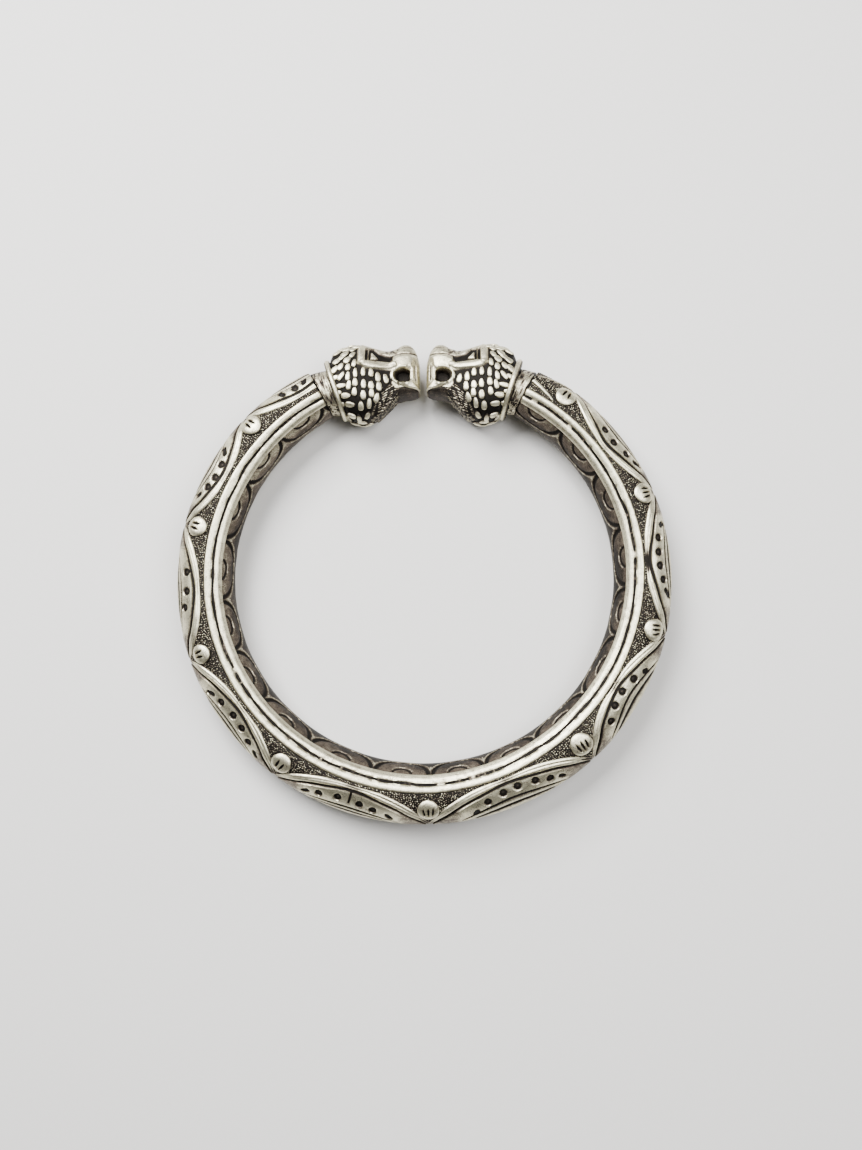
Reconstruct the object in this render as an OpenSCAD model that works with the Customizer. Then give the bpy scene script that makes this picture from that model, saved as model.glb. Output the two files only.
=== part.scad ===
// An open kada: a tapered, hollow silver tube bent to an oval, with raised bands, swags,
// dotted leaves and buttons, and a cast lion head plugged into each of its two ends.
// The ring lies flat. +Z is up, +Y points to the gap between the heads.

/* [Ring] */
// Clear width inside the ring, side to side
wrist_w = 60.4; // [52:0.2:70]
// Clear depth inside the ring, measured as if the curve were closed
wrist_d = 58.8; // [50:0.2:70]
// Tube diameter at the back, without its relief
tube_d = 9.4; // [8:0.1:11]
// Tube diameter at both ends, without its relief
end_d = 7.9; // [7:0.1:8.8]
// Thickness of the tube's wall
wall = 0.9; // [0.6:0.05:1.3]
// Length of the plain stretch between each collar and the patterned body
ferrule_l = 1.9; // [1:0.1:3]

/* [Relief] */
// Height of the two raised bands
band_h = 0.25; // [0.1:0.05:0.4]
// Height of the wavy wire
wire_h = 0.35; // [0.15:0.05:0.5]
// Width of the wavy wire
wire_w = 0.7; // [0.4:0.05:0.9]
// Height of the leaves and lenses between the wires
leaf_h = 0.25; // [0.1:0.05:0.4]
// Diameter of a button
button_d = 3.1; // [2.4:0.1:3.6]
// Height of a button
button_h = 0.6; // [0.3:0.05:0.9]

/* [Heads] */
// Gap between the two muzzles
gap = 1.1; // [0.6:0.1:3]
// Length of a head from its muzzle to the middle of its collar
head_l = 13.7; // [12:0.1:15]
// Height of a head in the plane of the ring, from the beard to the brow
head_h = 13.2; // [12:0.1:14]
// Thickness of a head across the ring
head_t = 9.6; // [8.6:0.1:10.4]
// Outer diameter of the collar behind each head
collar_d = 10.2; // [9.8:0.1:11]
// Width of the collar along the tube
collar_w = 0.9; // [0.6:0.05:1.4]
// Turn of the collar away from the ring's line of symmetry
collar_turn = 18; // [12:0.5:24]
// How far the collars sit inside the ring's oval
end_drop = 0.6; // [0:0.1:1]
// Diameter of the drilled mouth corner
mouth_d = 2.5; // [1.5:0.1:3]
// Length of a tuft of the mane
tuft_l = 1.7; // [1.2:0.05:1.9]
// Width of a tuft of the mane
tuft_w = 0.95; // [0.6:0.05:1.1]
// Height of a tuft above the mane's ground
tuft_h = 0.3; // [0.15:0.05:0.5]

/* [Joint between head and tube] */
// Length of the plug that reaches into the tube
plug_l = 2.2; // [1.4:0.1:2.6]
// Clearance around the plug
plug_gap = 0.05; // [0.02:0.01:0.15]
// Open seam between a collar and the tube's end
seam = 0.1; // [0.05:0.01:0.3]

/* [Hidden] */

// Shares of the patterned body, from the right end to the left, where the buttons stand
BUTTON_AT = [0.029, 0.133, 0.245, 0.357, 0.494, 0.622, 0.734, 0.842, 0.938];
// Shares of the body against the drift of the hand-laid pattern, in degrees around the tube
DRIFT = [[0, -4], [0.17, -3.5], [0.25, 1.5], [0.34, 4.5], [0.38, 4], [0.49, -2], [0.6, -0.5], [0.87, 1.2], [1, 0]];
// Edges of the bands, in degrees around the tube from its top towards the wrist
OUTER_BAND = [6.5, 19.5];
INNER_BAND = [26, 41];
// Where the plain inner wall gets its points, in degrees around the tube
INNER_WALL = [90, 66];
// Lines of a swag: degrees around the tube at its middle, and the share of its length that it spans
LEAF_FROM = [-13, 0.93];
LEAF_TO = [-38, 0.74];
LENS_FROM = [-42, 0.7];
LENS_TO = [-52, 0.62];
EYE_FROM = [-57, 0.54];
WIRE_MID = -3.5;
WIRE_SPAN = 1;
// How full the arch of a swag is: 2 gives an ellipse
ARCH = 1.8;
// Where a swag gets its sections, as shares of half its length from its middle
STATIONS = [-0.92, -0.74, -0.42, 0, 0.42, 0.74, 0.92, 1];
// Where the part of a swag at each end of the body gets its sections
FIRST_STATIONS = [0.5];
LAST_STATIONS = [0.15, 0.4, 0.7];
// The last button's swag would be this long, as a share of the body, if the body went on
LAST_SWAG = 0.1;
// Turn of a button from the tube's top, away from the wrist
BUTTON_TURN = -25;
// Diameter of a button's top and height of its rim, as shares of the whole button's
BUTTON_TOP = 0.55;
BUTTON_RIM = 0.45;
// How quickly the tube grows from its ends: a small number is quick
TAPER = 0.4;
// Slope of a relief edge and least space between two lines, in degrees around the tube
SLOPE = 1.4;
LEAST = 0.35;
// Height left in the groove between two leaves or lenses, as a share of theirs
GROOVE = 0.25;
GROUND_STEPS = 3;
BORE_SIDES = 10;
BORE_STEPS = 26;
BUTTON_SIDES = 8;
OVERLAP = 0.2;
// Least wall around a plug's socket, in walls of the tube, and the socket's spare depth
SOCKET_WALL = 1.3;
SOCKET_SPARE = 0.2;
PLUG_SIDES = 24;
COLLAR_SIDES = 24;
// Height of a head's brow above its collar's axis, as a share of the head's height
BROW = 0.568;

tube_r = tube_d / 2;
end_r = end_d / 2;
oval_x = wrist_w / 2 + tube_r;
oval_y = wrist_d / 2 + tube_r;
collar_x = gap / 2 + head_l;
collar_y = oval_y * sqrt(1 - pow(collar_x / oval_x, 2)) - end_drop;
tube_dir = [cos(collar_turn), -sin(collar_turn)];
tube_end = [collar_x, collar_y] + tube_dir * (collar_w / 2 + seam);
body_start = atan2(tube_end[0], tube_end[1]) + ferrule_l / norm(tube_end) * 180 / PI;
body_sweep = 360 - 2 * body_start;
crown_y = collar_y + BROW * head_h;
back_y = oval_y + tube_r + leaf_h;
shift_y = (back_y - crown_y) / 2;
socket_r = end_r - SOCKET_WALL * wall;
plug_r = socket_r * cos(180 / PLUG_SIDES) - plug_gap;

// How far down a button reaches, and the whole ring, from the middle of the tube
function button_reach(t) =
    let (turn = abs(BUTTON_TURN + drift_at(t)))
        (radius_at(t) + button_h) * cos(turn) + button_d * BUTTON_TOP / 2 * sin(turn);
floor_z = max(collar_d / 2, head_t / 2 + tuft_h, max([for (t = BUTTON_AT) button_reach(t)]));

// Distance of the tube's centreline from the middle of the oval
function oval_r(a) = 1 / norm([sin(a) / oval_x, cos(a) / oval_y]);
function oval_at(a) = [sin(a), cos(a)] * oval_r(a);
function angle_at(t) = body_start + t * body_sweep;
function radius_at(t) = end_r + (tube_r - end_r) * pow(max(0, sin(180 * t)), TAPER);
function drift_at(t) = lookup(t, DRIFT);

// A ring of points around a tube: c is its centre, turn the direction of its section
function section(c, turn, profile, r) = [
    for (p = profile)
        let (out = -(r + p[1]) * sin(p[0]))
            [c[0] + out * sin(turn), c[1] + out * cos(turn), (r + p[1]) * cos(p[0])]
];

// Swags run from button to button, and on past the last button and before the first.
// Where their lines meet under a button, each line's rank keeps it clear of the next.
function swag_from(i) = i < 0 ? BUTTON_AT[0] - LAST_SWAG : BUTTON_AT[i];
function swag_to(i) = i + 1 < len(BUTTON_AT) ? BUTTON_AT[i + 1] : BUTTON_AT[i] + LAST_SWAG;
function swag_t(i, x) = (swag_from(i) + swag_to(i)) / 2 + x * (swag_to(i) - swag_from(i)) / 2;
function arch(x) = abs(x) < 1 ? sqrt(1 - pow(abs(x), ARCH)) : 0;
function swag_line(line, x, drift, rank) =
    -90 + rank * LEAST + (line[0] + drift + 90 - rank * LEAST) * arch(x / line[1]);
function wire_half(r) = wire_w / 2 / r * 180 / PI;

// Heights and places around the upper half of the tube, from the wrist to the outer middle line
function half_profile(t, x, r) =
    let (
        d = drift_at(t),
        half = wire_half(r),
        wire = swag_line([WIRE_MID, WIRE_SPAN], x, d, 9 + half / LEAST),
        ground = OUTER_BAND[0] + d - SLOPE,
        over = wire + half,
        leaf = leaf_h * min(1, 2 * arch(x / LEAF_FROM[1])),
        lens = leaf_h * min(1, 2 * arch(x / LENS_FROM[1])),
        rise = arch(x / LEAF_FROM[1])
    )
    concat(
        [for (a = INNER_WALL) [a, 0]],
        band_profile(INNER_BAND, d),
        band_profile(OUTER_BAND, d),
        [for (k = [1:GROUND_STEPS - 1]) [ground + (over - ground) * k / GROUND_STEPS, 0]],
        [[over, 0], [wire + half / 2, wire_h], [wire - half / 2, wire_h], [wire - half, 0]],
        [
            [swag_line(LEAF_FROM, x, d, 8), 0],
            [swag_line(LEAF_FROM, x, d, 7) - SLOPE * rise, leaf],
            [swag_line(LEAF_TO, x, d, 6) + SLOPE * rise, leaf],
            [swag_line(LEAF_TO, x, d, 5), leaf * GROOVE],
            [swag_line(LENS_FROM, x, d, 4), lens],
            [swag_line(LENS_TO, x, d, 3), lens],
            [swag_line([(LENS_TO[0] + EYE_FROM[0]) / 2, EYE_FROM[1]], x, d, 2), lens * GROOVE],
            [swag_line(EYE_FROM, x, d, 1), lens],
            [-90, lens]
        ]
    );

function band_profile(band, d) = [
    [band[1] + d + SLOPE, 0],
    [band[1] + d, band_h],
    [band[0] + d, band_h],
    [band[0] + d - SLOPE, 0]
];

// The lower half mirrors the upper one
function whole_profile(half) = concat(half, [for (k = [len(half) - 2:-1:1]) [180 - half[k][0], half[k][1]]]);
function flat_profile(half, h) = [for (p = half) [p[0], h]];

// One closed skin through rings of points that all have the same count
module skin(rings) {
    n = len(rings[0]);
    m = len(rings);
    sides = [
        for (i = [0:m - 2], k = [0:n - 1])
            let (a = i * n + k, b = i * n + (k + 1) % n)
                each [[a, b, b + n], [a, b + n, a + n]]
    ];
    polyhedron(
        [for (ring = rings) each ring],
        concat(sides, [[for (k = [n - 1:-1:0]) k]], [[for (k = [0:n - 1]) (m - 1) * n + k]])
    );
}

function mirror_ring(ring) = [for (p = ring) [-p[0], p[1], p[2]]];
function body_ring(i, x) =
    let (t = swag_t(i, x), r = radius_at(t))
        section(oval_at(angle_at(t)), angle_at(t), whole_profile(half_profile(t, x, r)), r);
function first_x(t) = 2 * (t - swag_from(-1)) / (swag_to(-1) - swag_from(-1)) - 1;
function last_x(t) =
    let (i = len(BUTTON_AT) - 1)
        2 * (t - swag_from(i)) / (swag_to(i) - swag_from(i)) - 1;

// The plain rings at the right end, from the tube's mouth to the engraved line before the body
function ferrule_rings(half) = [
    section(tube_end, collar_turn, whole_profile(flat_profile(half, 0)), end_r),
    section(oval_at(body_start), body_start, whole_profile(flat_profile(half, 0)), end_r)
];

module tube_skin() {
    last = len(BUTTON_AT) - 1;
    first_half = half_profile(0, first_x(0), end_r);
    last_half = half_profile(1, last_x(1), end_r);
    left = ferrule_rings(last_half);
    skin(concat(
        ferrule_rings(first_half),
        [for (s = FIRST_STATIONS) body_ring(-1, first_x(s * BUTTON_AT[0]))],
        [body_ring(-1, 1)],
        [for (i = [0:last - 1], x = STATIONS) body_ring(i, x)],
        [for (s = LAST_STATIONS) body_ring(last, last_x(BUTTON_AT[last] + s * (1 - BUTTON_AT[last])))],
        [mirror_ring(left[1]), mirror_ring(left[0])]
    ));
}

// The hollow inside the tube, between the sockets of the two heads
module bore_skin() {
    profile = [for (k = [0:BORE_SIDES - 1]) [90 - 360 * k / BORE_SIDES, 0]];
    skin([
        for (k = [0:BORE_STEPS])
            let (t = k / BORE_STEPS, a = angle_at(t))
                section(oval_at(a), a, profile, radius_at(t) - wall)
    ]);
}

// Stands its children on the tube's right end, with +Z along the tube and away from the head
module at_tube_end() {
    translate([tube_end[0], tube_end[1], 0])
        rotate([0, 0, -collar_turn])
            rotate([0, 90, 0])
                children();
}

module socket() {
    at_tube_end()
        translate([0, 0, -OVERLAP])
            cylinder(r = socket_r, h = OVERLAP + plug_l + SOCKET_SPARE, $fn = PLUG_SIDES);
}

module button() {
    hull() {
        cylinder(d = button_d, h = wall / 2 + button_h * BUTTON_RIM, $fn = BUTTON_SIDES);
        cylinder(d = button_d * BUTTON_TOP, h = wall / 2 + button_h, $fn = BUTTON_SIDES);
    }
}

module buttons(side) {
    for (t = BUTTON_AT) {
        a = angle_at(t);
        turn = BUTTON_TURN + drift_at(t);
        translate(concat(oval_at(a), 0))
            rotate([0, 0, -a])
                rotate([side > 0 ? turn : 180 - turn, 0, 0])
                    translate([0, 0, radius_at(t) - wall / 2])
                        button();
    }
}

module hoop() {
    color("silver")
        translate([0, shift_y, floor_z])
            difference() {
                union() {
                    tube_skin();
                    buttons(1);
                    buttons(-1);
                }
                bore_skin();
                socket();
                mirror([1, 0, 0]) socket();
            }
}

// Sections of a head from muzzle to collar, as shares: place along the head, crown and chin
// of the head's height, thickness of its full thickness, turn of the collar's turn, and how far
// the section gives way to the round neck inside the collar
ALONG = 0;
CROWN = 1;
CHIN = 2;
THICK = 3;
TURN = 4;
NECK = 5;
HEAD = [
    [0.000, 0.310, 0.050, 0.36, 0.00, 0],
    [0.035, 0.430, 0.085, 0.52, 0.00, 0],
    [0.100, 0.553, 0.106, 0.62, 0.00, 0],
    [0.180, BROW, 0.117, 0.68, 0.00, 0],
    [0.280, 0.519, 0.159, 0.72, 0.00, 0],
    [0.390, 0.485, 0.273, 0.80, 0.05, 0],
    [0.510, 0.523, 0.371, 0.91, 0.15, 0],
    [0.640, 0.564, 0.428, 0.98, 0.30, 0],
    [0.775, 0.555, 0.436, 1.00, 0.50, 0],
    [0.880, 0.498, 0.426, 0.98, 0.75, 0],
    [0.950, 0.440, 0.398, 0.96, 0.95, 0.4],
    [0.985, 0.352, 0.352, 0.92, 1.00, 1]
];
HEAD_SIDES = 18;
// Radius of the neck as a share of the collar's
NECK_SHARE = 0.9;
// How square a head's section is: 2 gives an ellipse
HEAD_SQUARE = 2.3;
// Length of a bar's ridge as a share of the bar, and how deep its foot is sunk
BAR_RIDGE = 0.55;
BAR_FOOT = 0.15;
// Places on a side of the head, as shares of its length and height from the collar's axis:
// middle of the mouth's corner, back of the slit and its lower edge, and corners of the eye
MOUTH = [0.195, 0.122];
MOUTH_FLOOR = 0.14;
MOUTH_SIDES = 24;
SLIT = [0.16, 0.05];
SLIT_WIDTH = 0.22;
EYE = [[0.355, 0.335], [0.570, 0.335], [0.570, 0.445], [0.470, 0.400]];
EYE_FLOOR = 0.23;
// Bars of the face: from and to, each as place along the head and turn from the crown,
// then width and height; brow, cheek, jaw ridge and muzzle
FACE = [
    [[0.664, 34], [0.664, 80], 1.3, 0.35],
    [[0.290, 64], [0.700, 66], 1.6, 0.35],
    [[0.190, 116], [0.540, 141], 0.8, 0.4],
    [[0.030, 56], [0.300, 58], 2.6, 0.35]
];
// Mane of a head: columns of tufts from front to back, each with its place along the head,
// first and last turn from the crown, count, and lean of its tufts at its first and last one
MANE = [
    [0.335, 92, 92, 1, 0, 0],
    [0.430, 76, 110, 3, 0, 8],
    [0.525, 80, 124, 3, 0, 8],
    [0.625, 88, 138, 4, 0, -10],
    [0.720, 26, 148, 7, -15, -30],
    [0.812, 16, 158, 8, -30, -60],
    [0.905, 8, 148, 8, -35, -80]
];

function column(c) = [for (row = HEAD) [row[ALONG], row[c]]];
function head_share(s, c) = lookup(s, column(c));
function power(v, e) = sign(v) * pow(abs(v), e);
function necked(size, share) = size * (1 - share) + collar_d / 2 * NECK_SHARE * share;
// A point of the head's skin: s runs from muzzle to collar, q from the crown down one side
function head_at(s, q) =
    let (
        turn = collar_turn * head_share(s, TURN),
        e = 2 / HEAD_SQUARE,
        neck = head_share(s, NECK),
        up = power(cos(q), e) * necked(head_h * head_share(s, cos(q) > 0 ? CROWN : CHIN), neck),
        side = power(sin(q), e) * necked(head_t / 2 * head_share(s, THICK), neck)
    )
    [gap / 2 + s * head_l + up * sin(turn), collar_y + up * cos(turn), side];

module head_skin() {
    skin([
        for (row = HEAD)
            [for (k = [0:HEAD_SIDES - 1]) head_at(row[ALONG], -360 * k / HEAD_SIDES)]
    ]);
}

// A low bar with pointed ends and a ridge, between two places on the head's skin
module bar(from, to, w, h) {
    a = head_at(from[0], from[1]);
    b = head_at(to[0], to[1]);
    middle = head_at((from[0] + to[0]) / 2, (from[1] + to[1]) / 2);
    flat = [0, middle[1] - collar_y, middle[2]];
    out = flat / norm(flat);
    along = (b - a) / norm(b - a);
    across = cross(along, out) * w / 2;
    ridge = along * norm(b - a) * BAR_RIDGE / 2;
    foot = out * BAR_FOOT;
    hull()
        polyhedron(
            [
                a - foot,
                b - foot,
                middle + across - foot,
                middle - across - foot,
                middle + out * h - ridge,
                middle + out * h + ridge
            ],
            [[0, 4, 2], [0, 3, 4], [4, 5, 2], [4, 3, 5], [1, 2, 5], [1, 5, 3], [0, 2, 1], [0, 1, 3]]
        );
}

module tuft(s, q, lean) {
    reach_s = tuft_l / 2 * sin(lean) / head_l;
    reach_q = tuft_l / 2 * cos(lean) / (head_h / 2) * 180 / PI;
    bar([s - reach_s, q - reach_q], [s + reach_s, q + reach_q], tuft_w, tuft_h);
}

module mane() {
    for (c = MANE, k = [0:c[3] - 1]) {
        share = c[3] > 1 ? k / (c[3] - 1) : 0;
        tuft(c[0], c[1] + share * (c[2] - c[1]), c[4] + share * (c[5] - c[4]));
    }
}

module face() {
    for (b = FACE) bar(b[0], b[1], b[2], b[3]);
}

// Cuts into a side of the head from above, down to a floor at a share of its thickness
module mouth_cut() {
    translate([gap / 2 + MOUTH[0] * head_l, collar_y + MOUTH[1] * head_h, head_t * MOUTH_FLOOR])
        cylinder(d = mouth_d, h = head_t, $fn = MOUTH_SIDES);
    // Slit from the mouth's corner to the front of the muzzle
    translate([gap / 2 - OVERLAP, collar_y + SLIT[1] * head_h, head_t * MOUTH_FLOOR])
        cube([SLIT[0] * head_l, mouth_d * SLIT_WIDTH, head_t]);
}

module eye_cut() {
    translate([gap / 2, collar_y, head_t * EYE_FLOOR])
        linear_extrude(head_t)
            polygon([for (p = EYE) [p[0] * head_l, p[1] * head_h]]);
}

module both_sides() {
    children();
    mirror([0, 0, 1]) children();
}

// The collar is a round-edged band, and the plug behind it fits the tube's mouth
module collar() {
    edge = collar_w / 4;
    at_tube_end()
        translate([0, 0, -seam - collar_w / 2])
            rotate_extrude($fn = COLLAR_SIDES)
                polygon([
                    [0, -collar_w / 2],
                    [collar_d / 2 - edge, -collar_w / 2],
                    [collar_d / 2, -edge],
                    [collar_d / 2, edge],
                    [collar_d / 2 - edge, collar_w / 2],
                    [0, collar_w / 2]
                ]);
}

module plug() {
    at_tube_end()
        translate([0, 0, -OVERLAP - seam])
            cylinder(r = plug_r, h = OVERLAP + seam + plug_l, $fn = PLUG_SIDES);
}

module head() {
    color("gainsboro")
        translate([0, shift_y, floor_z]) {
            difference() {
                union() {
                    head_skin();
                    both_sides() mane();
                    both_sides() face();
                }
                both_sides() mouth_cut();
                both_sides() eye_cut();
            }
            collar();
            plug();
        }
}

module head_left() {
    mirror([1, 0, 0]) head();
}

module head_right() {
    head();
}

hoop();
head_left();
head_right();
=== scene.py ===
import math

import bmesh
import bpy
import numpy as np
from mathutils import Matrix, Vector


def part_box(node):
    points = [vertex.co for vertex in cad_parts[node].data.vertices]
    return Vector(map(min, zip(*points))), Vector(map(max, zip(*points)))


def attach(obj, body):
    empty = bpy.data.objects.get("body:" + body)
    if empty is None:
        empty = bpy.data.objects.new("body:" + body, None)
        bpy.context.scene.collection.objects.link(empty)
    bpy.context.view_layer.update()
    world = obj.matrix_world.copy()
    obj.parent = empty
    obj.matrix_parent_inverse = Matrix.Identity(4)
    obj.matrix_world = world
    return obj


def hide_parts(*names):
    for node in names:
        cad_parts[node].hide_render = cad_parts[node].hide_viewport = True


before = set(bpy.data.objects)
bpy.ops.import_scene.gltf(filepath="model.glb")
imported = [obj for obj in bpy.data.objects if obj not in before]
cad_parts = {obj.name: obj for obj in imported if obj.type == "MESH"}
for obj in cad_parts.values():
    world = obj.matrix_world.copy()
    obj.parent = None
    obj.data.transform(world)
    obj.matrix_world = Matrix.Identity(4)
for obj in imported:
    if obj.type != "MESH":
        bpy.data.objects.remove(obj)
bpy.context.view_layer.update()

mm = 0.001   # everything is drawn in millimetres and brought to metres when it is laid on the ring

# The ring itself: sizes in mm, angles in degrees
ring = {
    "wristWidth": 60.4,
    "wristDepth": 58.8,
    "tubeBack": 9.4,         # tube diameter at the back
    "tubeEnd": 7.9,          # and at its two ends
    "taper": 0.4,            # a small number is quick
    "wall": 0.9,
    "ferrule": 1.9,          # plain stretch between collar and pattern
    "gap": 1.1,              # between the muzzles
    "headLength": 13.7,
    "headHeight": 13.2,
    "headThickness": 9.6,
    "collarWidth": 0.9,
    "collarDiameter": 10.2,
    "collarTurn": 18,
    "endDrop": 0.6,          # how far the collars sit inside the oval
    "seam": 0.1,
    "leafHeight": 0.25,
    "browShare": 0.568,      # how much of a head's height is above its collar's axis
    "flatter": 0.2,          # the tube is this much flatter outside than a true circle
}

tubeRadius = ring["tubeBack"] / 2
endRadius = ring["tubeEnd"] / 2
ovalX = ring["wristWidth"] / 2 + tubeRadius
ovalY = ring["wristDepth"] / 2 + tubeRadius
meanReach = (ovalX + ovalY) / 2
collarX = ring["gap"] / 2 + ring["headLength"]
collarY = ovalY * math.sqrt(1 - (collarX / ovalX) ** 2) - ring["endDrop"]
collarTurn = math.radians(ring["collarTurn"])
tubeWay = np.array([math.cos(collarTurn), -math.sin(collarTurn)])
tubeMouth = np.array([collarX, collarY]) + tubeWay * (ring["collarWidth"] / 2 + ring["seam"])
mouthAngle = math.degrees(math.atan2(tubeMouth[0], tubeMouth[1]))
bodyStart = mouthAngle + math.degrees(ring["ferrule"] / np.linalg.norm(tubeMouth))
bodyEnd = 360 - bodyStart
crownY = collarY + ring["browShare"] * ring["headHeight"]
shiftY = (ovalY + tubeRadius + ring["leafHeight"] - crownY) / 2
hoopLow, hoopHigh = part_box("hoop")
middleZ = (hoopLow.z + hoopHigh.z) / 2 / mm

# The pattern was laid by hand, so it drifts around the tube: angle round the ring, drift
driftAt = [(30, -4), (80, -3.5), (106, 1.5), (132, 4.5), (144, 4), (178, -2), (210, -0.5), (291, 1.2),
           (330, 0)]

# Swags from button to button. The lines are turns around the tube at mid swag, minus is outwards
# from the top: the wire, the leaf's outer edge, both edges of the lens, and the edge of its eye.
# Then the wire's width at mid swag in mm, 1 where its first half is split in two strands, and
# how full the arch is before and after its middle: 2 is an ellipse, less is more pointed.
swagColumns = ("start", "end", "wire", "leafTo", "lensFrom", "lensTo", "eyeFrom",
               "waist", "split", "fullBefore", "fullAfter")
swagRows = [
    (38.7, 69.8, -5, -43, -49, -58, -64, 0.62, 0, 1.6, 1.8),
    (69.8, 103.6, -2, -42, -46, -55, -61, 0.3, 0, 1.8, 1.8),
    (103.6, 137.0, 3.5, -28, -32.5, -44, -50, 0.5, 1, 1.8, 2.4),
    (137.0, 178.5, 1, -34, -38.5, -51, -57, 0.5, 1, 2.4, 2.2),
    (178.5, 216.7, -4, -47, -51.5, -60, -66, 0.5, 1, 2.1, 2.1),
    (216.7, 250.3, -3.5, -41, -45, -54, -60, 0.6, 1, 2.1, 2.2),
    (250.3, 282.5, -5, -42, -46, -55, -61, 0.65, 0, 2.1, 2.0),
    (282.5, 311.4, -3.5, -35, -39, -49, -55, 0.6, 0, 2.2, 2.1),
    (311.4, 342.0, -6, -35, -39, -49, -55, 0.6, 0, 2.0, 2.0),
]
swags = [dict(zip(swagColumns, row)) for row in swagRows]
for swag in swags:
    swag["middle"] = (swag["start"] + swag["end"]) / 2
    swag["half"] = (swag["end"] - swag["start"]) / 2
# How much of half a swag each line reaches along, and how far it ends above the equator in degrees
spans = {"wire": 1.0, "leafTo": 0.68, "lensFrom": 0.64, "lensTo": 0.56, "eyeFrom": 0.48}
lineEnds = {"wire": 1.6, "leafTo": 0.8, "lensFrom": 0.6, "lensTo": 0.4, "eyeFrom": 0.2}
innerPower = 1.75   # the same for the lines inside
equator = -90


# Small tools for drawing

def smooth(low, high, x):
    share = np.clip((x - low) / (high - low), 0, 1)
    return share * share * (3 - 2 * share)


def between(low, lowTo, high, highTo, x):   # rises to 1 and falls back to 0
    return smooth(low, lowTo, x) * (1 - smooth(high, highTo, x))


def mixed(a, b, share):
    return a + (b - a) * share


def blended(skin, other, share):   # height and brightness together
    return mixed(skin[0], other[0], share), mixed(skin[1], other[1], share)


def fromTable(table, x):
    return np.interp(x, *zip(*table))


def circle(count):
    return np.linspace(0, 2 * math.pi, count, endpoint=False)


def grit(x, y, size, seed):   # a soft random field from 0 to 1 with lumps of about that size
    gx, gy = np.asarray(x) / size, np.asarray(y) / size
    ix, iy = np.floor(gx), np.floor(gy)
    fx, fy = smooth(0, 1, gx - ix), smooth(0, 1, gy - iy)

    def corner(i, j):
        value = np.sin((ix + i) * 127.1 + (iy + j) * 311.7 + seed * 74.7) * 43758.5453
        return value - np.floor(value)

    return mixed(mixed(corner(0, 0), corner(1, 0), fx), mixed(corner(0, 1), corner(1, 1), fx), fy)


def sheetFaces(rows, across, closedRows=False, closedAcross=True):
    r = np.arange(rows if closedRows else rows - 1)
    c = np.arange(across if closedAcross else across - 1)
    r, c = np.meshgrid(r, c, indexing="ij")
    down, over = (r + 1) % rows, (c + 1) % across
    corners = (r * across + c, down * across + c, down * across + over, r * across + over)
    return np.stack([k.ravel() for k in corners], axis=1)


def joinParts(parts):   # each part is points, faces and how bright each point is
    points, faces, bright, start = [], [], [], 0
    for partPoints, partFaces, partBright in parts:
        points.append(partPoints.reshape(-1, 3))
        bright.append(np.asarray(partBright, float).ravel())
        faces += [[start + i for i in face] for face in np.asarray(partFaces, dtype=object).tolist()]
        start += len(points[-1])
    return np.concatenate(points), faces, np.concatenate(bright)


def loft(points, bright):   # a closed solid through rings of points, with flat ends
    rows, across = points.shape[:2]
    faces = sheetFaces(rows, across).tolist()
    faces.append(list(range(across)))
    faces.append(list(range(rows * across - 1, (rows - 1) * across - 1, -1)))
    return points, np.array(faces, dtype=object), bright


def closedUnder(turns, heights, brights, columns, sink):   # adds the hidden side of a raised strip
    under = np.linspace(turns[:, -1], turns[:, 0], columns).T
    hidden = (under, np.full(under.shape, sink), np.zeros(under.shape))
    return [np.concatenate(pair, axis=1) for pair in zip((turns, heights, brights), hidden)]


def newMesh(name, points, faces=(), edges=(), **fields):   # faces are turned outwards
    mesh = bpy.data.meshes.new(name)
    points = np.asarray(points, float).reshape(-1, 3)
    mesh.from_pydata(points.tolist(), list(edges), [list(face) for face in faces])
    for field, values in fields.items():
        values = np.asarray(values, np.float32)
        kind, key = ("FLOAT_VECTOR", "vector") if values.shape == points.shape else ("FLOAT", "value")
        mesh.attributes.new(field, kind, "POINT").data.foreach_set(key, values.ravel())
    if len(faces):
        shape = bmesh.new()
        shape.from_mesh(mesh)
        bmesh.ops.recalc_face_normals(shape, faces=shape.faces)
        shape.to_mesh(mesh)
        shape.free()
    return mesh


def newObject(name, data):
    piece = bpy.data.objects.new(name, data)
    bpy.context.scene.collection.objects.link(piece)
    return piece


def soften(mesh, sharp):
    mesh.shade_smooth()
    mesh.set_sharp_from_angle(angle=math.radians(sharp))


# The line through the middle of the tube, from the right collar round the back to the left one

def ringLine(steps=720):
    angle = np.linspace(bodyStart, bodyEnd, steps)
    turn = np.radians(angle)
    reach = 1 / np.hypot(np.sin(turn) / ovalX, np.cos(turn) / ovalY)
    share = (angle - bodyStart) / (bodyEnd - bodyStart)
    radius = endRadius + (tubeRadius - endRadius) * np.clip(np.sin(np.pi * share), 0, 1) ** ring["taper"]
    mouthX, mouthY = tubeMouth
    x = np.concatenate([[mouthX], np.sin(turn) * reach, [-mouthX]])
    y = np.concatenate([[mouthY], np.cos(turn) * reach, [mouthY]])
    return {
        "x": x,
        "y": y,
        "angle": np.concatenate([[mouthAngle], angle, [360 - mouthAngle]]),
        "turn": np.concatenate([[collarTurn], turn, [2 * math.pi - collarTurn]]),
        "radius": np.concatenate([[endRadius], radius, [endRadius]]),
        "along": np.concatenate([[0], np.cumsum(np.hypot(np.diff(x), np.diff(y)))]),
    }


middle = ringLine()


def alongAt(angle):
    return np.interp(angle, middle["angle"], middle["along"])


def radiusAt(angle):
    return np.interp(angle, middle["angle"], middle["radius"])


def radiusAlong(along):
    return np.interp(along, middle["along"], middle["radius"])


def drifted(angle):
    return fromTable(driftAt, angle)


def outerDrop(turn):
    return ring["flatter"] * smooth(0.45, 1, -np.sin(np.radians(turn)))


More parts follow.
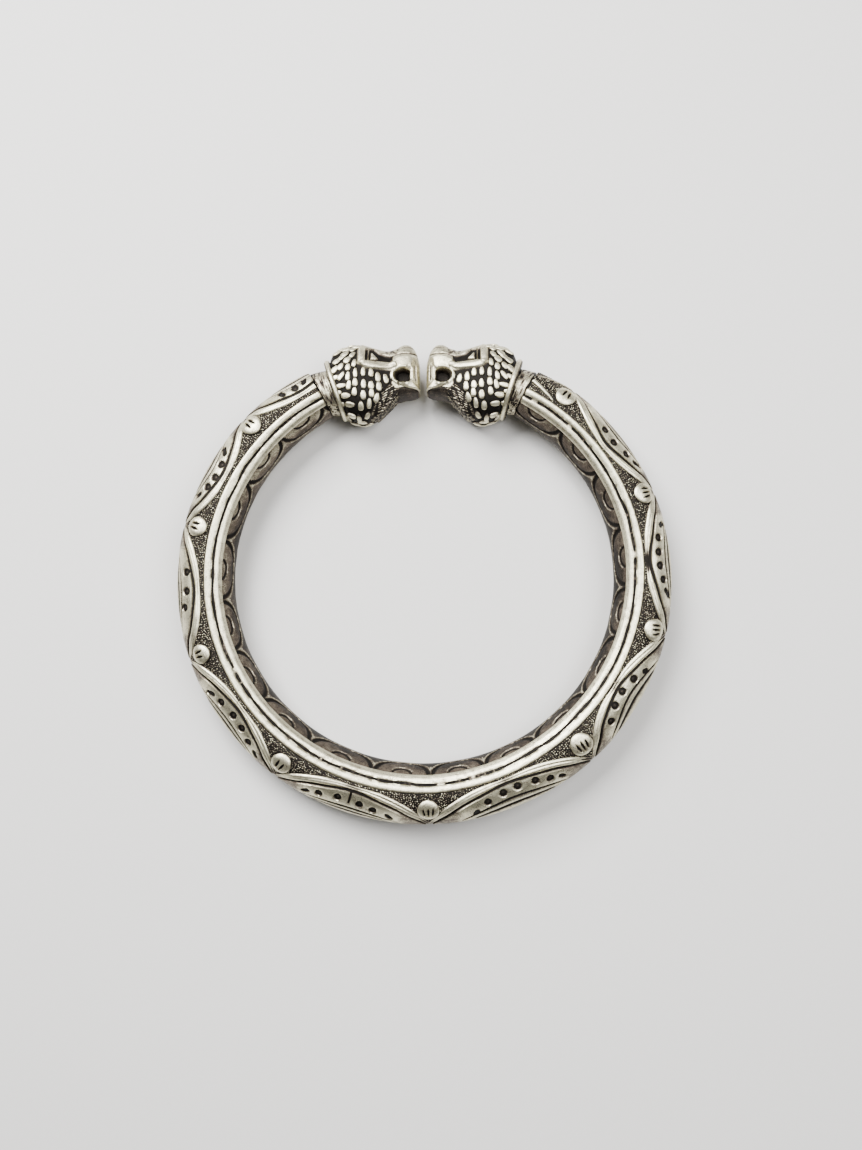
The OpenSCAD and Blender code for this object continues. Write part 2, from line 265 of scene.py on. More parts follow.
def flat(angle, turn, height):   # ring angle and turn around the tube to a flat drawing in mm
    angle, turn, height = np.broadcast_arrays(angle, turn, height)
    height = height - outerDrop(turn)
    return np.stack([alongAt(angle), -np.radians(turn) * radiusAt(angle), height], axis=-1).astype(float)


def lowerHalf(drawn, radius):   # the same flat drawing on the underside
    below = drawn.copy()
    below[:, 1] = np.pi * radius - drawn[:, 1]
    return below


def arch(swag, line, x):   # 1 at mid swag, 0 at both ends
    power = np.where(x < 0, swag["fullBefore"], swag["fullAfter"]) if line == "wire" else innerPower
    return np.sqrt(1 - np.clip(np.abs(x / spans[line]), 0, 1) ** power)


def swagLine(swag, line, x):   # turn around the tube of one of a swag's lines
    least = equator + lineEnds[line]
    return least + (swag[line] - least) * arch(swag, line, x)


# Small tools for node trees

def feed(tree, node, inputs):   # a node given as an input hands over its first output
    for key, value in inputs.items():
        if isinstance(value, bpy.types.Node):
            value = value.outputs[0]
        if isinstance(value, bpy.types.NodeSocket):
            tree.links.new(value, node.inputs[key])
        else:
            node.inputs[key].default_value = value


def addNode(tree, kind, inputs=None, **settings):
    node = tree.nodes.new(kind)
    for key, value in settings.items():
        setattr(node, key, value)
    feed(tree, node, inputs or {})
    return node


def doMaths(tree, operation, *values):
    return addNode(tree, "ShaderNodeMath", dict(enumerate(values)), operation=operation)


def vectorMaths(tree, operation, vector, value):
    key = "Scale" if operation == "SCALE" else 1
    return addNode(tree, "ShaderNodeVectorMath", {0: vector, key: value}, operation=operation)


def vectorOf(tree, x=0.0, y=0.0, z=0.0):
    return addNode(tree, "ShaderNodeCombineXYZ", {0: x, 1: y, 2: z})


def remap(tree, value, fromLow, fromHigh, toLow, toHigh):
    return addNode(tree, "ShaderNodeMapRange", {
        "Value": value, "From Min": fromLow, "From Max": fromHigh, "To Min": toLow, "To Max": toHigh})


def noise(tree, place, scale, detail, roughness=0.5):
    return addNode(tree, "ShaderNodeTexNoise", {
        "Vector": place, "Scale": scale, "Detail": detail, "Roughness": roughness})


def randomValue(tree, low, high, seed):
    inputs = {2: low, 3: high, "Seed": seed}
    return addNode(tree, "FunctionNodeRandomValue", inputs, data_type="FLOAT").outputs[1]


def namedField(tree, name, kind="FLOAT"):
    return addNode(tree, "GeometryNodeInputNamedAttribute", {"Name": name}, data_type=kind)


def storeField(tree, geometry, name, value, kind="FLOAT"):
    inputs = {"Geometry": geometry, "Name": name, "Value": value}
    return addNode(tree, "GeometryNodeStoreNamedAttribute", inputs, data_type=kind, domain="POINT")


def position(tree):
    return addNode(tree, "GeometryNodeInputPosition")


def moveTo(tree, geometry, place):
    return addNode(tree, "GeometryNodeSetPosition", {"Geometry": geometry, "Position": place})


def realize(tree, geometry):
    return addNode(tree, "GeometryNodeRealizeInstances", {"Geometry": geometry})


def shapeOf(tree, given):
    return addNode(tree, "GeometryNodeObjectInfo", {"Object": given}).outputs["Geometry"]


def setOut(tree, points, given, turn, size, **others):   # copies of an object's shape on points
    return addNode(tree, "GeometryNodeInstanceOnPoints", {
        "Points": points, "Instance": shapeOf(tree, given), "Rotation": turn, "Scale": size, **others})


def startTree(name, sockets):   # a geometry tree with named inputs and one geometry output
    tree = bpy.data.node_groups.new(name, "GeometryNodeTree")
    for way in ("OUTPUT", "INPUT"):
        tree.interface.new_socket("Geometry", in_out=way, socket_type="NodeSocketGeometry")
    for label, kind, value in sockets:
        socket = tree.interface.new_socket(label, in_out="INPUT", socket_type="NodeSocket" + kind)
        if value is not None:
            socket.default_value = value
    return tree, tree.nodes.new("NodeGroupInput").outputs


def handOut(tree, geometry):
    addNode(tree, "NodeGroupOutput", {0: geometry})
    return tree


def endTree(tree, geometry, material):   # realize, give the finish, hand out
    real = realize(tree, geometry)
    finished = addNode(tree, "GeometryNodeSetMaterial", {"Geometry": real, "Material": material})
    return handOut(tree, finished)


def makePiece(name, mesh, tree, inputs, sharp=55):   # runs the tree once and keeps the plain mesh
    piece = newObject(name, mesh)
    modifier = piece.modifiers.new(tree.name, "NODES")
    modifier.node_group = tree
    for item in tree.interface.items_tree:
        if item.in_out == "INPUT" and item.name in inputs:
            modifier[item.identifier] = inputs[item.name]
    graph = bpy.context.evaluated_depsgraph_get()
    mesh = bpy.data.meshes.new_from_object(
        piece.evaluated_get(graph), preserve_all_data_layers=True, depsgraph=graph)
    piece.modifiers.clear()
    piece.data = mesh
    mesh.name = name
    soften(mesh, sharp)
    print(name + ":", len(mesh.polygons), "faces")
    return piece


# Lays a flat drawing around the tube: X runs along the ring, Y outwards around the tube, Z off it
def wrapTree():
    tree, given = startTree("layOnTube", [
        ("Middle line", "Object", None), ("Shift", "Vector", (0, 0, 0)), ("Scale", "Float", mm)])
    curve = addNode(tree, "GeometryNodeMeshToCurve", {0: shapeOf(tree, given["Middle line"])})
    place = position(tree)
    drawn = addNode(tree, "ShaderNodeSeparateXYZ", {0: place}).outputs

    def sampled(field):
        inputs = {"Curves": curve, "Value": namedField(tree, field), "Length": drawn["X"]}
        return addNode(tree, "GeometryNodeSampleCurve", inputs, mode="LENGTH", data_type="FLOAT").outputs

    def times(a, operation, b):
        return doMaths(tree, "MULTIPLY", a, doMaths(tree, operation, b))

    line = sampled("tubeRadius")
    radius, turn = line["Value"], sampled("sectionTurn")["Value"]
    around = doMaths(tree, "DIVIDE", drawn["Y"], radius)
    reach = doMaths(tree, "ADD", radius, drawn["Z"])
    outwards = times(reach, "SINE", around)
    off = vectorOf(tree, times(outwards, "SINE", turn), times(outwards, "COSINE", turn),
                   times(reach, "COSINE", around))
    spot = vectorMaths(tree, "ADD", line["Position"], off)
    shifted = vectorMaths(tree, "ADD", spot, given["Shift"])
    kept = storeField(tree, given["Geometry"], "flow", place, "FLOAT_VECTOR")
    return handOut(tree, moveTo(tree, kept, vectorMaths(tree, "SCALE", shifted, given["Scale"])))


layOnTube = wrapTree()
middleEdges = [(i, i + 1) for i in range(len(middle["x"]) - 1)]
middleLine = newObject("middleLine", newMesh(
    "middleLine", np.stack([middle["x"], middle["y"], 0 * middle["x"]], axis=1), edges=middleEdges,
    tubeRadius=middle["radius"], sectionTurn=middle["turn"]))
helpers = [middleLine]
wrapSockets = [
    ("Middle line", "Object", None), ("Shift", "Vector", (0, 0, 0)), ("Finish", "Material", None)]


def wrapped(tree, geometry, given):   # the last steps of every tree that draws on the ring
    inputs = {"Geometry": geometry, "Middle line": given["Middle line"], "Shift": given["Shift"]}
    laid = addNode(tree, "GeometryNodeGroup", inputs, node_tree=layOnTube)
    return endTree(tree, laid, given["Finish"])


print("ring laid out,", round(float(middle["along"][-1]), 1), "mm along its middle")


# Finish: silver that was blackened and rubbed bright again. "bright" is 0 in the recesses
# and 1 where the polish reaches; "flow" is the drawing's own place in mm, for marks along the metal.
silver = {
    "shades": [
        (0.0, (0.010, 0.009, 0.008)),
        (0.24, (0.024, 0.021, 0.018)),
        (0.36, (0.086, 0.068, 0.053)),
        (0.54, (0.155, 0.130, 0.100)),
        (0.74, (0.47, 0.435, 0.31)),
        (1.0, (0.71, 0.67, 0.49)),
    ],
    "polish": 0.93,          # how far "bright" alone goes up the shades
    # noises in the metal: lumps per mm, detail and roughness
    "lumps": (1.1, 5.0, 0.65),
    "specks": (7.0, 3.0, 0.6),
    "streaks": (1.0, 4.0, 0.6),
    "tooth": (14.0, 3.0, 0.7),
    "lumpShare": 0.4,        # the rest is specks
    "drawnOut": (0.5, 9.0, 9.0),   # the streaks run along the metal
    "blotch": 1.4,           # how unevenly the black comes off
    "marksOnBlack": 0.16,
    "marksOnBright": 0.82,   # and this much more where it is bright
    "roughFrom": (0.2, 0.9),       # how bright where it is roughest and smoothest
    "roughBlack": 0.62,
    "roughBright": 0.36,
    "roughBlotch": 0.3,
    "dentDepth": 0.00006,
    "dentStrength": 0.6,
}


def newFinish(name):
    finish = bpy.data.materials.new(name)
    finish.use_nodes = True
    return finish, finish.node_tree, finish.node_tree.nodes["Principled BSDF"]


def silverFinish(name, streak, grain):
    finish, tree, shader = newFinish(name)

    def maths(operation, *values):
        return doMaths(tree, operation, *values)

    bright = addNode(tree, "ShaderNodeAttribute", attribute_name="bright").outputs["Fac"]
    flow = addNode(tree, "ShaderNodeAttribute", attribute_name="flow").outputs["Vector"]
    lumps, specks, tooth = (noise(tree, flow, *silver[kind]) for kind in ("lumps", "specks", "tooth"))
    drawnOut = addNode(tree, "ShaderNodeMapping", {"Vector": flow, "Scale": silver["drawnOut"]})
    streaks = noise(tree, drawnOut, *silver["streaks"])
    few = maths("MULTIPLY", specks, 1 - silver["lumpShare"])
    uneven = maths("SUBTRACT", maths("MULTIPLY_ADD", lumps, silver["lumpShare"], few), 0.5)
    lined = maths("MULTIPLY", maths("SUBTRACT", streaks, 0.5), streak)
    marks = maths("MULTIPLY", maths("MULTIPLY_ADD", uneven, 2 * silver["blotch"], lined),
                  maths("MULTIPLY_ADD", bright, silver["marksOnBright"], silver["marksOnBlack"]))
    level = maths("MULTIPLY_ADD", bright, silver["polish"], marks)
    ramp = addNode(tree, "ShaderNodeValToRGB", {0: level})
    stops = ramp.color_ramp.elements
    while len(stops) < len(silver["shades"]):
        stops.new(0.5)
    for stop, (at, colour) in zip(stops, silver["shades"]):
        stop.position = at
        stop.color = (*colour, 1)
    rough = remap(tree, level, *silver["roughFrom"], silver["roughBlack"], silver["roughBright"])
    dents = maths("MULTIPLY_ADD", tooth, grain, maths("MULTIPLY", streaks, streak))
    feed(tree, shader, {
        "Base Color": ramp,
        "Metallic": 1.0,
        "Roughness": maths("MULTIPLY_ADD", uneven, silver["roughBlotch"], rough),
        "Normal": addNode(tree, "ShaderNodeBump", {
            "Height": dents, "Strength": silver["dentStrength"], "Distance": silver["dentDepth"]})})
    return finish


chasedSilver = silverFinish("chasedSilver", streak=0.8, grain=0.6)
castSilver = silverFinish("castSilver", streak=0.1, grain=0.9)
onRing = {"Middle line": middleLine, "Shift": (0, shiftY, middleZ), "Finish": chasedSilver}


# The tube: black ground outside, a plain inner wall with engraved scallops, rough ferrules

tube = {
    "alongRows": 860,
    "ferruleRows": 30,
    "boreRows": 36,
    "innerColumns": 60,
    "outerColumns": 20,
    "innerFrom": 40,           # turn around the tube where the inner wall begins
    "scallopTop": 43,          # where the cusps hang from
    "scallopFoot": 80,
    "scallopPower": 2.3,
    "scallopReach": 0.85,      # share of the tube's radius that they lie inside its middle line
    "cutDepth": 0.18,
    "cutWide": 1.35,           # at the cusps
    "cutNarrow": 0.36,         # at the foot of a lobe
    "cutBright": 0.06,
    "lip": 0.17,
    "lipHeight": 0.05,
    "lipBright": 0.74,
    "smallArcHalf": 3.1,       # in degrees round the ring
    "smallArcFoot": 58,
    "smallArcPower": 2.2,
    "smallCut": (0, 0.08, 0.4, 0.48),   # mm inside the small arc where its cut begins and ends
    "smallLip": (-0.17, -0.1, -0.05, 0.02),
    "smallCutShare": 0.8,
    "knotReach": 1.7,          # mm along the ring where two swags meet at the equator
    "knotTurn": 15,
    "knotHeight": 0.12,
    "groundBright": 0.08,
    "knotBright": 0.35,        # and this much more on the knots
    "wallShade": 0.5,          # painted shade: how bright the wall stays at the foot of the scallops, where it turns away from the light
    "wallShadeTurns": (44, 78),
    "wallPatches": 2.5,        # mm
    "wallPatchShare": 0.16,
    "ferruleBright": 0.8,
    "ferruleSink": 0.04,
    "pitSizes": (0.45, 0.16),
    "pitShares": (0.45, 0.55),
    "pitEdge": (0.5, 0.62),
    "pitDepth": 0.1,
    "pitBright": 0.08,
    "endLine": 0.24,           # the line cut round the tube where the pattern begins
    "endLineDepth": 0.16,
    "endLineShade": 0.95,
}

# How bright the inner wall is beside the bands, by angle round the ring and brightness: its rubbed silver
# tone with painted light and shade on top, lightest at the upper left and darkest on the right
wallPolishAndLight = [(30, 0.5), (60, 0.42), (90, 0.37), (130, 0.36), (180, 0.43), (240, 0.46), (280, 0.53),
              (310, 0.68), (330, 0.74)]

# Cusps between the scallops, degrees round the ring
cusps = [26.5, 43.9, 59.9, 76.4, 93.5, 107.5, 126.3, 145.6, 161.8, 177.6, 194.2, 214.0, 232.0, 248.2,
         263.2, 280.7, 298.0, 313.9, 329.6, 346.0]


def foldTurn(turn):   # the lower half mirrors the upper one
    turn = (turn + 180) % 360 - 180
    return np.where(np.abs(turn) <= 90, turn, np.sign(turn) * 180 - turn)


def arcCut(angle, turn, centre, half, top, foot, power):   # distance inside a hanging arc, in mm
    x = (angle - centre) / half
    inside = np.clip(1 - np.abs(x) ** power, 1e-4, 1)
    edge = top + (foot - top) * np.sqrt(inside)
    perTurn = np.radians(1) * radiusAt(angle)
    perAngle = np.radians(1) * (meanReach - radiusAt(angle) * tube["scallopReach"])
    slope = (foot - top) * 0.5 / np.sqrt(inside) * power * np.abs(x) ** (power - 1)
    slope = slope / half * perTurn / perAngle
    return (edge - turn) * perTurn / np.hypot(1, slope), np.abs(x)


def innerWall(angle, turn):
    index = np.clip(np.searchsorted(cusps, angle) - 1, 0, len(cusps) - 2)
    low, high = np.array(cusps)[index], np.array(cusps)[index + 1]
    centre, half = (low + high) / 2, (high - low) / 2
    top = tube["scallopTop"] + drifted(angle) * 0.5
    deep, side = arcCut(angle, turn, centre, half, top, tube["scallopFoot"], tube["scallopPower"])
    width = mixed(tube["cutNarrow"], tube["cutWide"], side ** 3)
    cut = between(0, 0.1, width - 0.12, width, deep)
    lip = between(-tube["lip"] - 0.06, -tube["lip"], -0.06, 0.02, deep)
    deepSmall, sideSmall = arcCut(
        angle, turn, centre, tube["smallArcHalf"], top, tube["smallArcFoot"], tube["smallArcPower"])
    within = 1 - smooth(0.96, 1.02, sideSmall)
    cutSmall = between(*tube["smallCut"], deepSmall) * within
    lips = np.maximum(lip, between(*tube["smallLip"], deepSmall) * within)
    deepest = np.maximum(cut, cutSmall * tube["smallCutShare"])
    height = -tube["cutDepth"] * deepest + tube["lipHeight"] * lips
    # Painted shade: the wall darkens towards the foot of the scallops
    shade = mixed(1, tube["wallShade"], smooth(*tube["wallShadeTurns"], turn))
    patches = grit(alongAt(angle), turn * 0.08, tube["wallPatches"], 3) - 0.5
    # Painted light and shade round the ring from the table, on top of the wall's own rubbed tone
    bright = fromTable(wallPolishAndLight, angle) * shade + tube["wallPatchShare"] * patches
    bright = mixed(bright, tube["lipBright"], lips)
    return height, mixed(bright, tube["cutBright"], np.maximum(cut * mixed(0.7, 1, side), cutSmall))


def ferruleSkin(angle, turn):   # cast and filed, with black pits
    along, around = alongAt(angle), np.radians(turn) * endRadius
    (coarseSize, fineSize), (coarseShare, fineShare) = tube["pitSizes"], tube["pitShares"]
    coarse, fine = grit(along, around, coarseSize, 5), grit(along, around, fineSize, 6)
    pit = smooth(*tube["pitEdge"], coarseShare * coarse + fineShare * fine)
    height = -tube["ferruleSink"] - tube["pitDepth"] * pit + 0.03 * fine
    return height, mixed(tube["ferruleBright"], tube["pitBright"], pit) + 0.2 * (fine - 0.5)


def tubeSkin(angle, turn):
    turn = foldTurn(turn)
    knots = np.array([swag["start"] for swag in swags] + [swags[-1]["end"]])
    off = np.abs(angle[..., None] - knots).min(axis=-1) * np.radians(1) * (meanReach + radiusAt(angle))
    knot = 1 - smooth(0.4, 1, off / tube["knotReach"])
    knot = knot * (1 - smooth(0.3, 1, np.abs(turn - equator) / tube["knotTurn"]))
    skin = tube["knotHeight"] * knot, tube["groundBright"] + tube["knotBright"] * knot
    inner = smooth(tube["innerFrom"] - 1, tube["innerFrom"], turn - drifted(angle))
    skin = blended(skin, innerWall(angle, turn), inner)
    fromEnd = np.minimum(angle, 360 - angle)
    nearEnd = 1 - smooth(bodyStart - 0.1, bodyStart + 0.1, fromEnd)
    height, bright = blended(skin, ferruleSkin(angle, turn), nearEnd)
    off = np.abs(fromEnd - bodyStart) * np.radians(1) * meanReach
    line = 1 - smooth(tube["endLine"] * 0.3, tube["endLine"] * 0.6, off)
    return height - tube["endLineDepth"] * line, bright * (1 - tube["endLineShade"] * line)


def makeTube():
    start, far, margin = tube["innerFrom"], 180 - tube["innerFrom"], 0.6
    turns = np.concatenate([
        np.linspace(start, far, tube["innerColumns"], endpoint=False),
        np.linspace(far, 360 + start, tube["outerColumns"], endpoint=False)])
    angles = np.concatenate([
        np.linspace(mouthAngle, bodyStart + margin, tube["ferruleRows"], endpoint=False),
        np.linspace(bodyStart + margin, bodyEnd - margin, tube["alongRows"], endpoint=False),
        np.linspace(bodyEnd - margin, 360 - mouthAngle, tube["ferruleRows"])])
    angle, turn = np.meshgrid(angles, turns, indexing="ij")
    height, bright = tubeSkin(angle, turn)
    boreAngles = np.linspace(360 - mouthAngle, mouthAngle, tube["boreRows"])
    boreAngle, boreTurn = np.meshgrid(boreAngles, turns, indexing="ij")
    bore = flat(boreAngle, boreTurn, np.full(boreAngle.shape, -ring["wall"]))
    points = np.concatenate([flat(angle, turn, height), bore])
    bright = np.concatenate([bright, np.full(boreAngle.shape, 0.05)])
    faces = sheetFaces(len(points), len(turns), closedRows=True)[:, ::-1]
    return newMesh("tube", points, faces, bright=bright)


def plainTree():
    tree, given = startTree("layDrawing", wrapSockets)
    return wrapped(tree, given["Geometry"], given)


layDrawing = plainTree()
hoopPieces = [makePiece("tube", makeTube(), layDrawing, onRing)]


# The two bands beside the inner wall, with the broken black groove between them

bands = {
    "rows": 820,
    "start": 29.1,
    "end": 330.9,
    # turn around the tube, height in mm, brightness, from the wrist side outwards
    "profile": [
        (44.5, -0.14, 0.30), (43.0, 0.05, 0.60), (41.8, 0.18, 0.85), (40.3, 0.25, 0.95),
        (37.5, 0.29, 1.0), (35.6, 0.27, 0.72), (33.9, 0.30, 1.0), (31.5, 0.29, 1.0),
        (29.3, 0.26, 0.97), (27.4, 0.20, 0.85), (26.0, 0.02, 0.03), (24.0, -0.02, 0.0),
        (21.9, -0.02, 0.0), (19.9, 0.02, 0.03), (18.5, 0.20, 0.85), (16.8, 0.26, 0.97),
        (14.8, 0.29, 1.0), (12.5, 0.30, 1.0), (10.2, 0.29, 1.0), (8.2, 0.25, 0.95),
        (6.9, 0.17, 0.8), (5.7, 0.02, 0.15), (4.4, -0.14, 0.0),
    ],
    "groove": slice(10, 14),       # its columns in the profile
    "grooveSides": slice(9, 15),   # and with one more on each side
    "grooveWidth": (0.5, 0.88),    # least and most, as shares of the profile's
    "sway": 2.4,             # degrees around the tube
    "swaySize": 3.2,         # mm along it, as the sizes below
    "narrowSizes": (1.6, 0.5),
    "narrowShares": (0.7, 0.3),
    "sink": -0.3,
    "underColumns": 5,
    "endSlope": 0.14,
    "endBright": 0.3,
    "bridgeSize": 0.5,
    "bridgeHeight": 0.16,
    "bridgeBright": 0.7,
    "tickSize": 0.32,        # half-closed ticks between them
    "bridges": 0.95,         # a smaller number breaks the groove more often
    "brokenSize": 11,        # from one much broken stretch to the next
    "wear": 0.035,
    "wearSize": 0.7,
}


def makeBands():
    angles = np.linspace(bands["start"], bands["end"], bands["rows"])
    along = alongAt(angles)
    drift = drifted(angles)[:, None]
    profile = np.repeat(np.array(bands["profile"])[None], len(angles), axis=0)
    groove, sides = bands["groove"], bands["grooveSides"]
    grooveTurns = profile[0, groove, 0]
    centre = (grooveTurns[0] + grooveTurns[-1]) / 2
    (coarseSize, fineSize), (coarseShare, fineShare) = bands["narrowSizes"], bands["narrowShares"]
    parts = []
    for side, seed in ((1, 11), (-1, 31)):
        turns, heights, brights = np.moveaxis(profile, -1, 0).copy()
        turns = turns + drift
        sway = (grit(along, 0, bands["swaySize"], seed) - 0.5) * bands["sway"]
        narrow = coarseShare * grit(along, 0, coarseSize, seed + 1)
        narrow = narrow + fineShare * grit(along, 0, fineSize, seed + 5)
        narrow = mixed(*bands["grooveWidth"], narrow)[:, None]
        turns[:, sides] = (centre + sway)[:, None] + (profile[:, sides, 0] - centre) * narrow + drift
        often = bands["bridges"] - 0.2 * smooth(0.45, 0.8, grit(along, 0, bands["brokenSize"], seed + 2))
        bridge = smooth(often, often + 0.08, grit(along, 0, bands["bridgeSize"], seed + 3))
        tick = 0.5 * smooth(0.6, 0.75, grit(along, 0, bands["tickSize"], seed + 6))
        bridge = np.maximum(bridge, tick * grit(along, 0, 5, seed + 7))[:, None]
        heights[:, groove] = mixed(heights[:, groove], bands["bridgeHeight"], bridge)
        brights[:, groove] = mixed(brights[:, groove], bands["bridgeBright"], bridge)
        worn = grit(along[:, None], np.radians(turns) * 4.5, bands["wearSize"], seed + 4) - 0.5
        heights = heights + np.where(heights > 0.15, bands["wear"] * worn, 0)
        ends = smooth(0, bands["endSlope"], np.minimum(along - along[0], along[-1] - along))[:, None]
        heights = mixed(np.minimum(heights, 0.0), heights, ends)
        brights = brights * mixed(bands["endBright"], 1, ends)
        strip = closedUnder(turns, heights, brights, bands["underColumns"], bands["sink"])
        if side > 0:
            strip = [values[:, ::-1] for values in strip]
        else:
            strip[0] = 180 - strip[0]
        parts.append(loft(flat(angles[:, None], strip[0], strip[1]), strip[2]))
    points, faces, bright = joinParts(parts)
    return newMesh("bands", points, faces, bright=bright)


hoopPieces.append(makePiece("bands", makeBands(), layDrawing, onRing))


# Wires: two soft strands side by side along each swag, swept along their line by a node tree.
# The leaves keep an even distance from them, so their sizes come first.

wires = {
    "points": 80,
    "sweep": 88.5,           # spaces the points closer at both ends
    "width": 1.14,
    "tip": 0.5,              # width where the wires meet below the buttons
    "flatten": 0.8,
    "sides": 8,
    "together": 0.16,        # half the space between the strands, in mm
    "apart": 0.25,           # where a wire is split
    "overlap": 1.3,          # a larger number makes the strands thinner
    "blackTo": 0.02,         # mm off the tube
    "brightFrom": 0.2,
    "loosePoints": 20,
}


def wireWidth(swag, x):
    near = np.abs(x)
    width = mixed(swag["waist"], wires["width"], smooth(0.0, 0.45, near))
    return mixed(width, wires["tip"], smooth(0.75, 1.0, near))


# Leaves, lenses and eyes inside each swag, drawn along the swag's own lines

leaves = {
    "reach": 0.96,            # share of half a swag
    "rows": 160,
    "sweep": 60,              # spaces the rows closer at both ends
    "leafColumns": 27,
    "underColumns": 6,
    "edge": 0.075,            # share of the leaf that slopes
    "footHeight": -0.12,
    "footBright": 0.02,
    "lensHeight": 0.2,
    "grooveHeight": 0.0,
    "closedFrom": (0.56, 0.72),   # shares of half a swag where the leaf's tip darkens
    "tipBright": 0.56,
    "gap": 0.38,              # mm between the wire and the leaf
    "sink": -0.3,
    # share of the way across, share of the full height, brightness
    "lens": [(0, 0.35, 0.2), (0.12, 0.75, 0.75), (0.3, 1, 1), (0.55, 1, 1), (0.8, 0.8, 0.8),
             (1, 0.3, 0.15)],
    "eye": [(0.0, 0.45, 0.3), (0.2, 0.9, 0.9), (0.6, 1.0, 1)],
    "pitTurn": 40,            # about how far around the tube the pits lie
    "pitRadius": 0.69,
    "longPitShare": 0.66,     # half width of the long marks as a share of that
    "pitDepth": 0.30,
    "pitBoss": 0.3,           # the punch leaves a small boss in the middle
    "crackAt": 197.9,
    "crackTurns": (-37, -6),
    "crackHalf": (0.08, 0.2),
    "crackPerDegree": 0.65,   # mm for a degree round the ring, where the crack is
    "darkest": 0.97,
}

# Pits punched into the leaves: angle round the ring, turn around the tube
roundPits = [
    (51.5, -32), (55.3, -28), (59.3, -37), (81.1, -32), (84.6, -27.5), (87.9, -28), (91.2, -34.5),
    (116.5, -21), (120.5, -13), (124.4, -16), (128.0, -29), (147.9, -34.5), (151.3, -23),
    (155.8, -17.5), (159.7, -20), (163.9, -28), (191.9, -38.5), (195.3, -32.5), (200.8, -31),
    (205.4, -40), (226.2, -39), (229.6, -28), (233.3, -24.5), (237.6, -30), (262.3, -36.5),
    (266.1, -28.5), (270.8, -28.5), (292.5, -27.5), (295.4, -21), (299.0, -23), (325.8, -27),
]
# The long marks that close the leaves off have a length in mm and a slant as well
longPits = [
    (62.6, -50, 1.2, 50), (78.0, -49, 0.7, 110), (94.3, -47, 1.2, 50), (113.5, -36, 0.3, 130),
    (145.2, -45.5, 0.5, 130), (167.1, -45.5, 0.5, 50), (188.0, -50, 0.8, 130), (208.6, -52, 0.9, 50),
    (223.2, -52, 0.8, 130), (240.9, -42, 1.1, 50), (289.9, -42, 0.7, 130), (302.2, -35, 1.0, 50),
    (322.2, -33, 0.7, 120), (328.6, -31, 0.6, 60),
]


def pitMarks(angle, turn):   # how deep, and how dark
    depth, dark = np.zeros(angle.shape), np.zeros(angle.shape)
    perTurn = np.radians(1) * radiusAt(angle)
    perAngle = np.radians(1) * (meanReach + perTurn * leaves["pitTurn"])
    for at, around, length, slant in [(*pit, 0, 0) for pit in roundPits] + longPits:
        x, y = (angle - at) * perAngle, -(turn - around) * perTurn
        wayX, wayY = math.cos(math.radians(slant)), math.sin(math.radians(slant))
        t = np.clip(x * wayX + y * wayY, -length / 2, length / 2)
        radius = leaves["pitRadius"] * (leaves["longPitShare"] if length else 1)
        away = np.hypot(x - t * wayX, y - t * wayY) / radius
        hole = 1 - smooth(0.82, 1.02, away)
        boss = 0 if length else (1 - smooth(0.15, 0.6, away)) * leaves["pitBoss"]
        depth = np.maximum(depth, hole - boss)
        dark = np.maximum(dark, hole * (1 - boss * 0.9))
    return depth, dark


def besideWire(swag, x, angles):   # turn around the tube at an even distance outside the wire
    wire = swagLine(swag, "wire", x)
    perTurn = np.radians(1) * radiusAt(angles)
    slope = np.gradient(wire * perTurn, alongAt(angles))
    return wire - (wireWidth(swag, x) / 2 + leaves["gap"]) * np.hypot(1, slope) / perTurn


def leafRows(swag, angles):
    x = (angles - swag["middle"]) / swag["half"]
    leafTo, lensFrom, lensTo, eyeFrom = (
        swagLine(swag, line, x) for line in ("leafTo", "lensFrom", "lensTo", "eyeFrom"))
    leafFrom = np.maximum(besideWire(swag, x, angles), leafTo + 0.2)
    tip = smooth(0.5, 9, leafFrom - equator)
    grooveOn = smooth(0, 0.3, arch(swag, "lensFrom", x))
    lensOn = smooth(0, 0.35, arch(swag, "lensTo", x))
    eyeOn = smooth(0, 0.35, arch(swag, "eyeFrom", x))
    tipTone = mixed(1, leaves["tipBright"], smooth(*leaves["closedFrom"], np.abs(x)))
    leafTop, lensTop, low = ring["leafHeight"], leaves["lensHeight"], leaves["grooveHeight"]
    columns = []
    for share in np.linspace(0, 1, leaves["leafColumns"]):
        rise = smooth(0, leaves["edge"], share)
        fall = mixed(1, smooth(0, leaves["edge"], 1 - share), grooveOn)
        columns.append((mixed(leafFrom, leafTo, share),
                        mixed(leaves["footHeight"], leafTop, rise * fall) * tip,
                        mixed(leaves["footBright"], tipTone, rise * fall ** 1.5)))
    for share in (0.25, 0.75):
        columns.append((mixed(leafTo, lensFrom, share), mixed(leafTop, low, grooveOn), 1 - grooveOn))
    for share, height, bright in leaves["lens"]:
        top = mixed(leafTop, lensTop * mixed(1, height, lensOn), grooveOn)
        columns.append((mixed(lensFrom, lensTo, share), top, mixed(1, bright, lensOn)))
    for share in (0.3, 0.8):
        columns.append((mixed(lensTo, eyeFrom, share), mixed(lensTop, low, eyeOn), 1 - eyeOn))
    for share, height, bright in leaves["eye"]:
        top = mixed(lensTop, lensTop * height, eyeOn)
        columns.append((mixed(eyeFrom, equator, share), top, mixed(1, bright, eyeOn)))
    columns.append((equator + 0 * x, lensTop + 0 * x, 1 + 0 * x))
    turns, heights, brights = (np.stack(values, axis=1) for values in zip(*columns))
    depth, dark = pitMarks(np.repeat(angles[:, None], turns.shape[1], axis=1), turns)
    crackLow, crackHigh = leaves["crackTurns"]
    fromCrack = np.abs(angles[:, None] - leaves["crackAt"]) * leaves["crackPerDegree"]
    crack = 1 - smooth(*leaves["crackHalf"], fromCrack)
    crack = crack * between(crackLow - 2, crackLow, crackHigh, crackHigh + 2, turns)
    heights = heights - leaves["pitDepth"] * np.maximum(depth, crack) * tip[:, None]
    return turns, heights, brights * (1 - leaves["darkest"] * np.maximum(dark, crack))


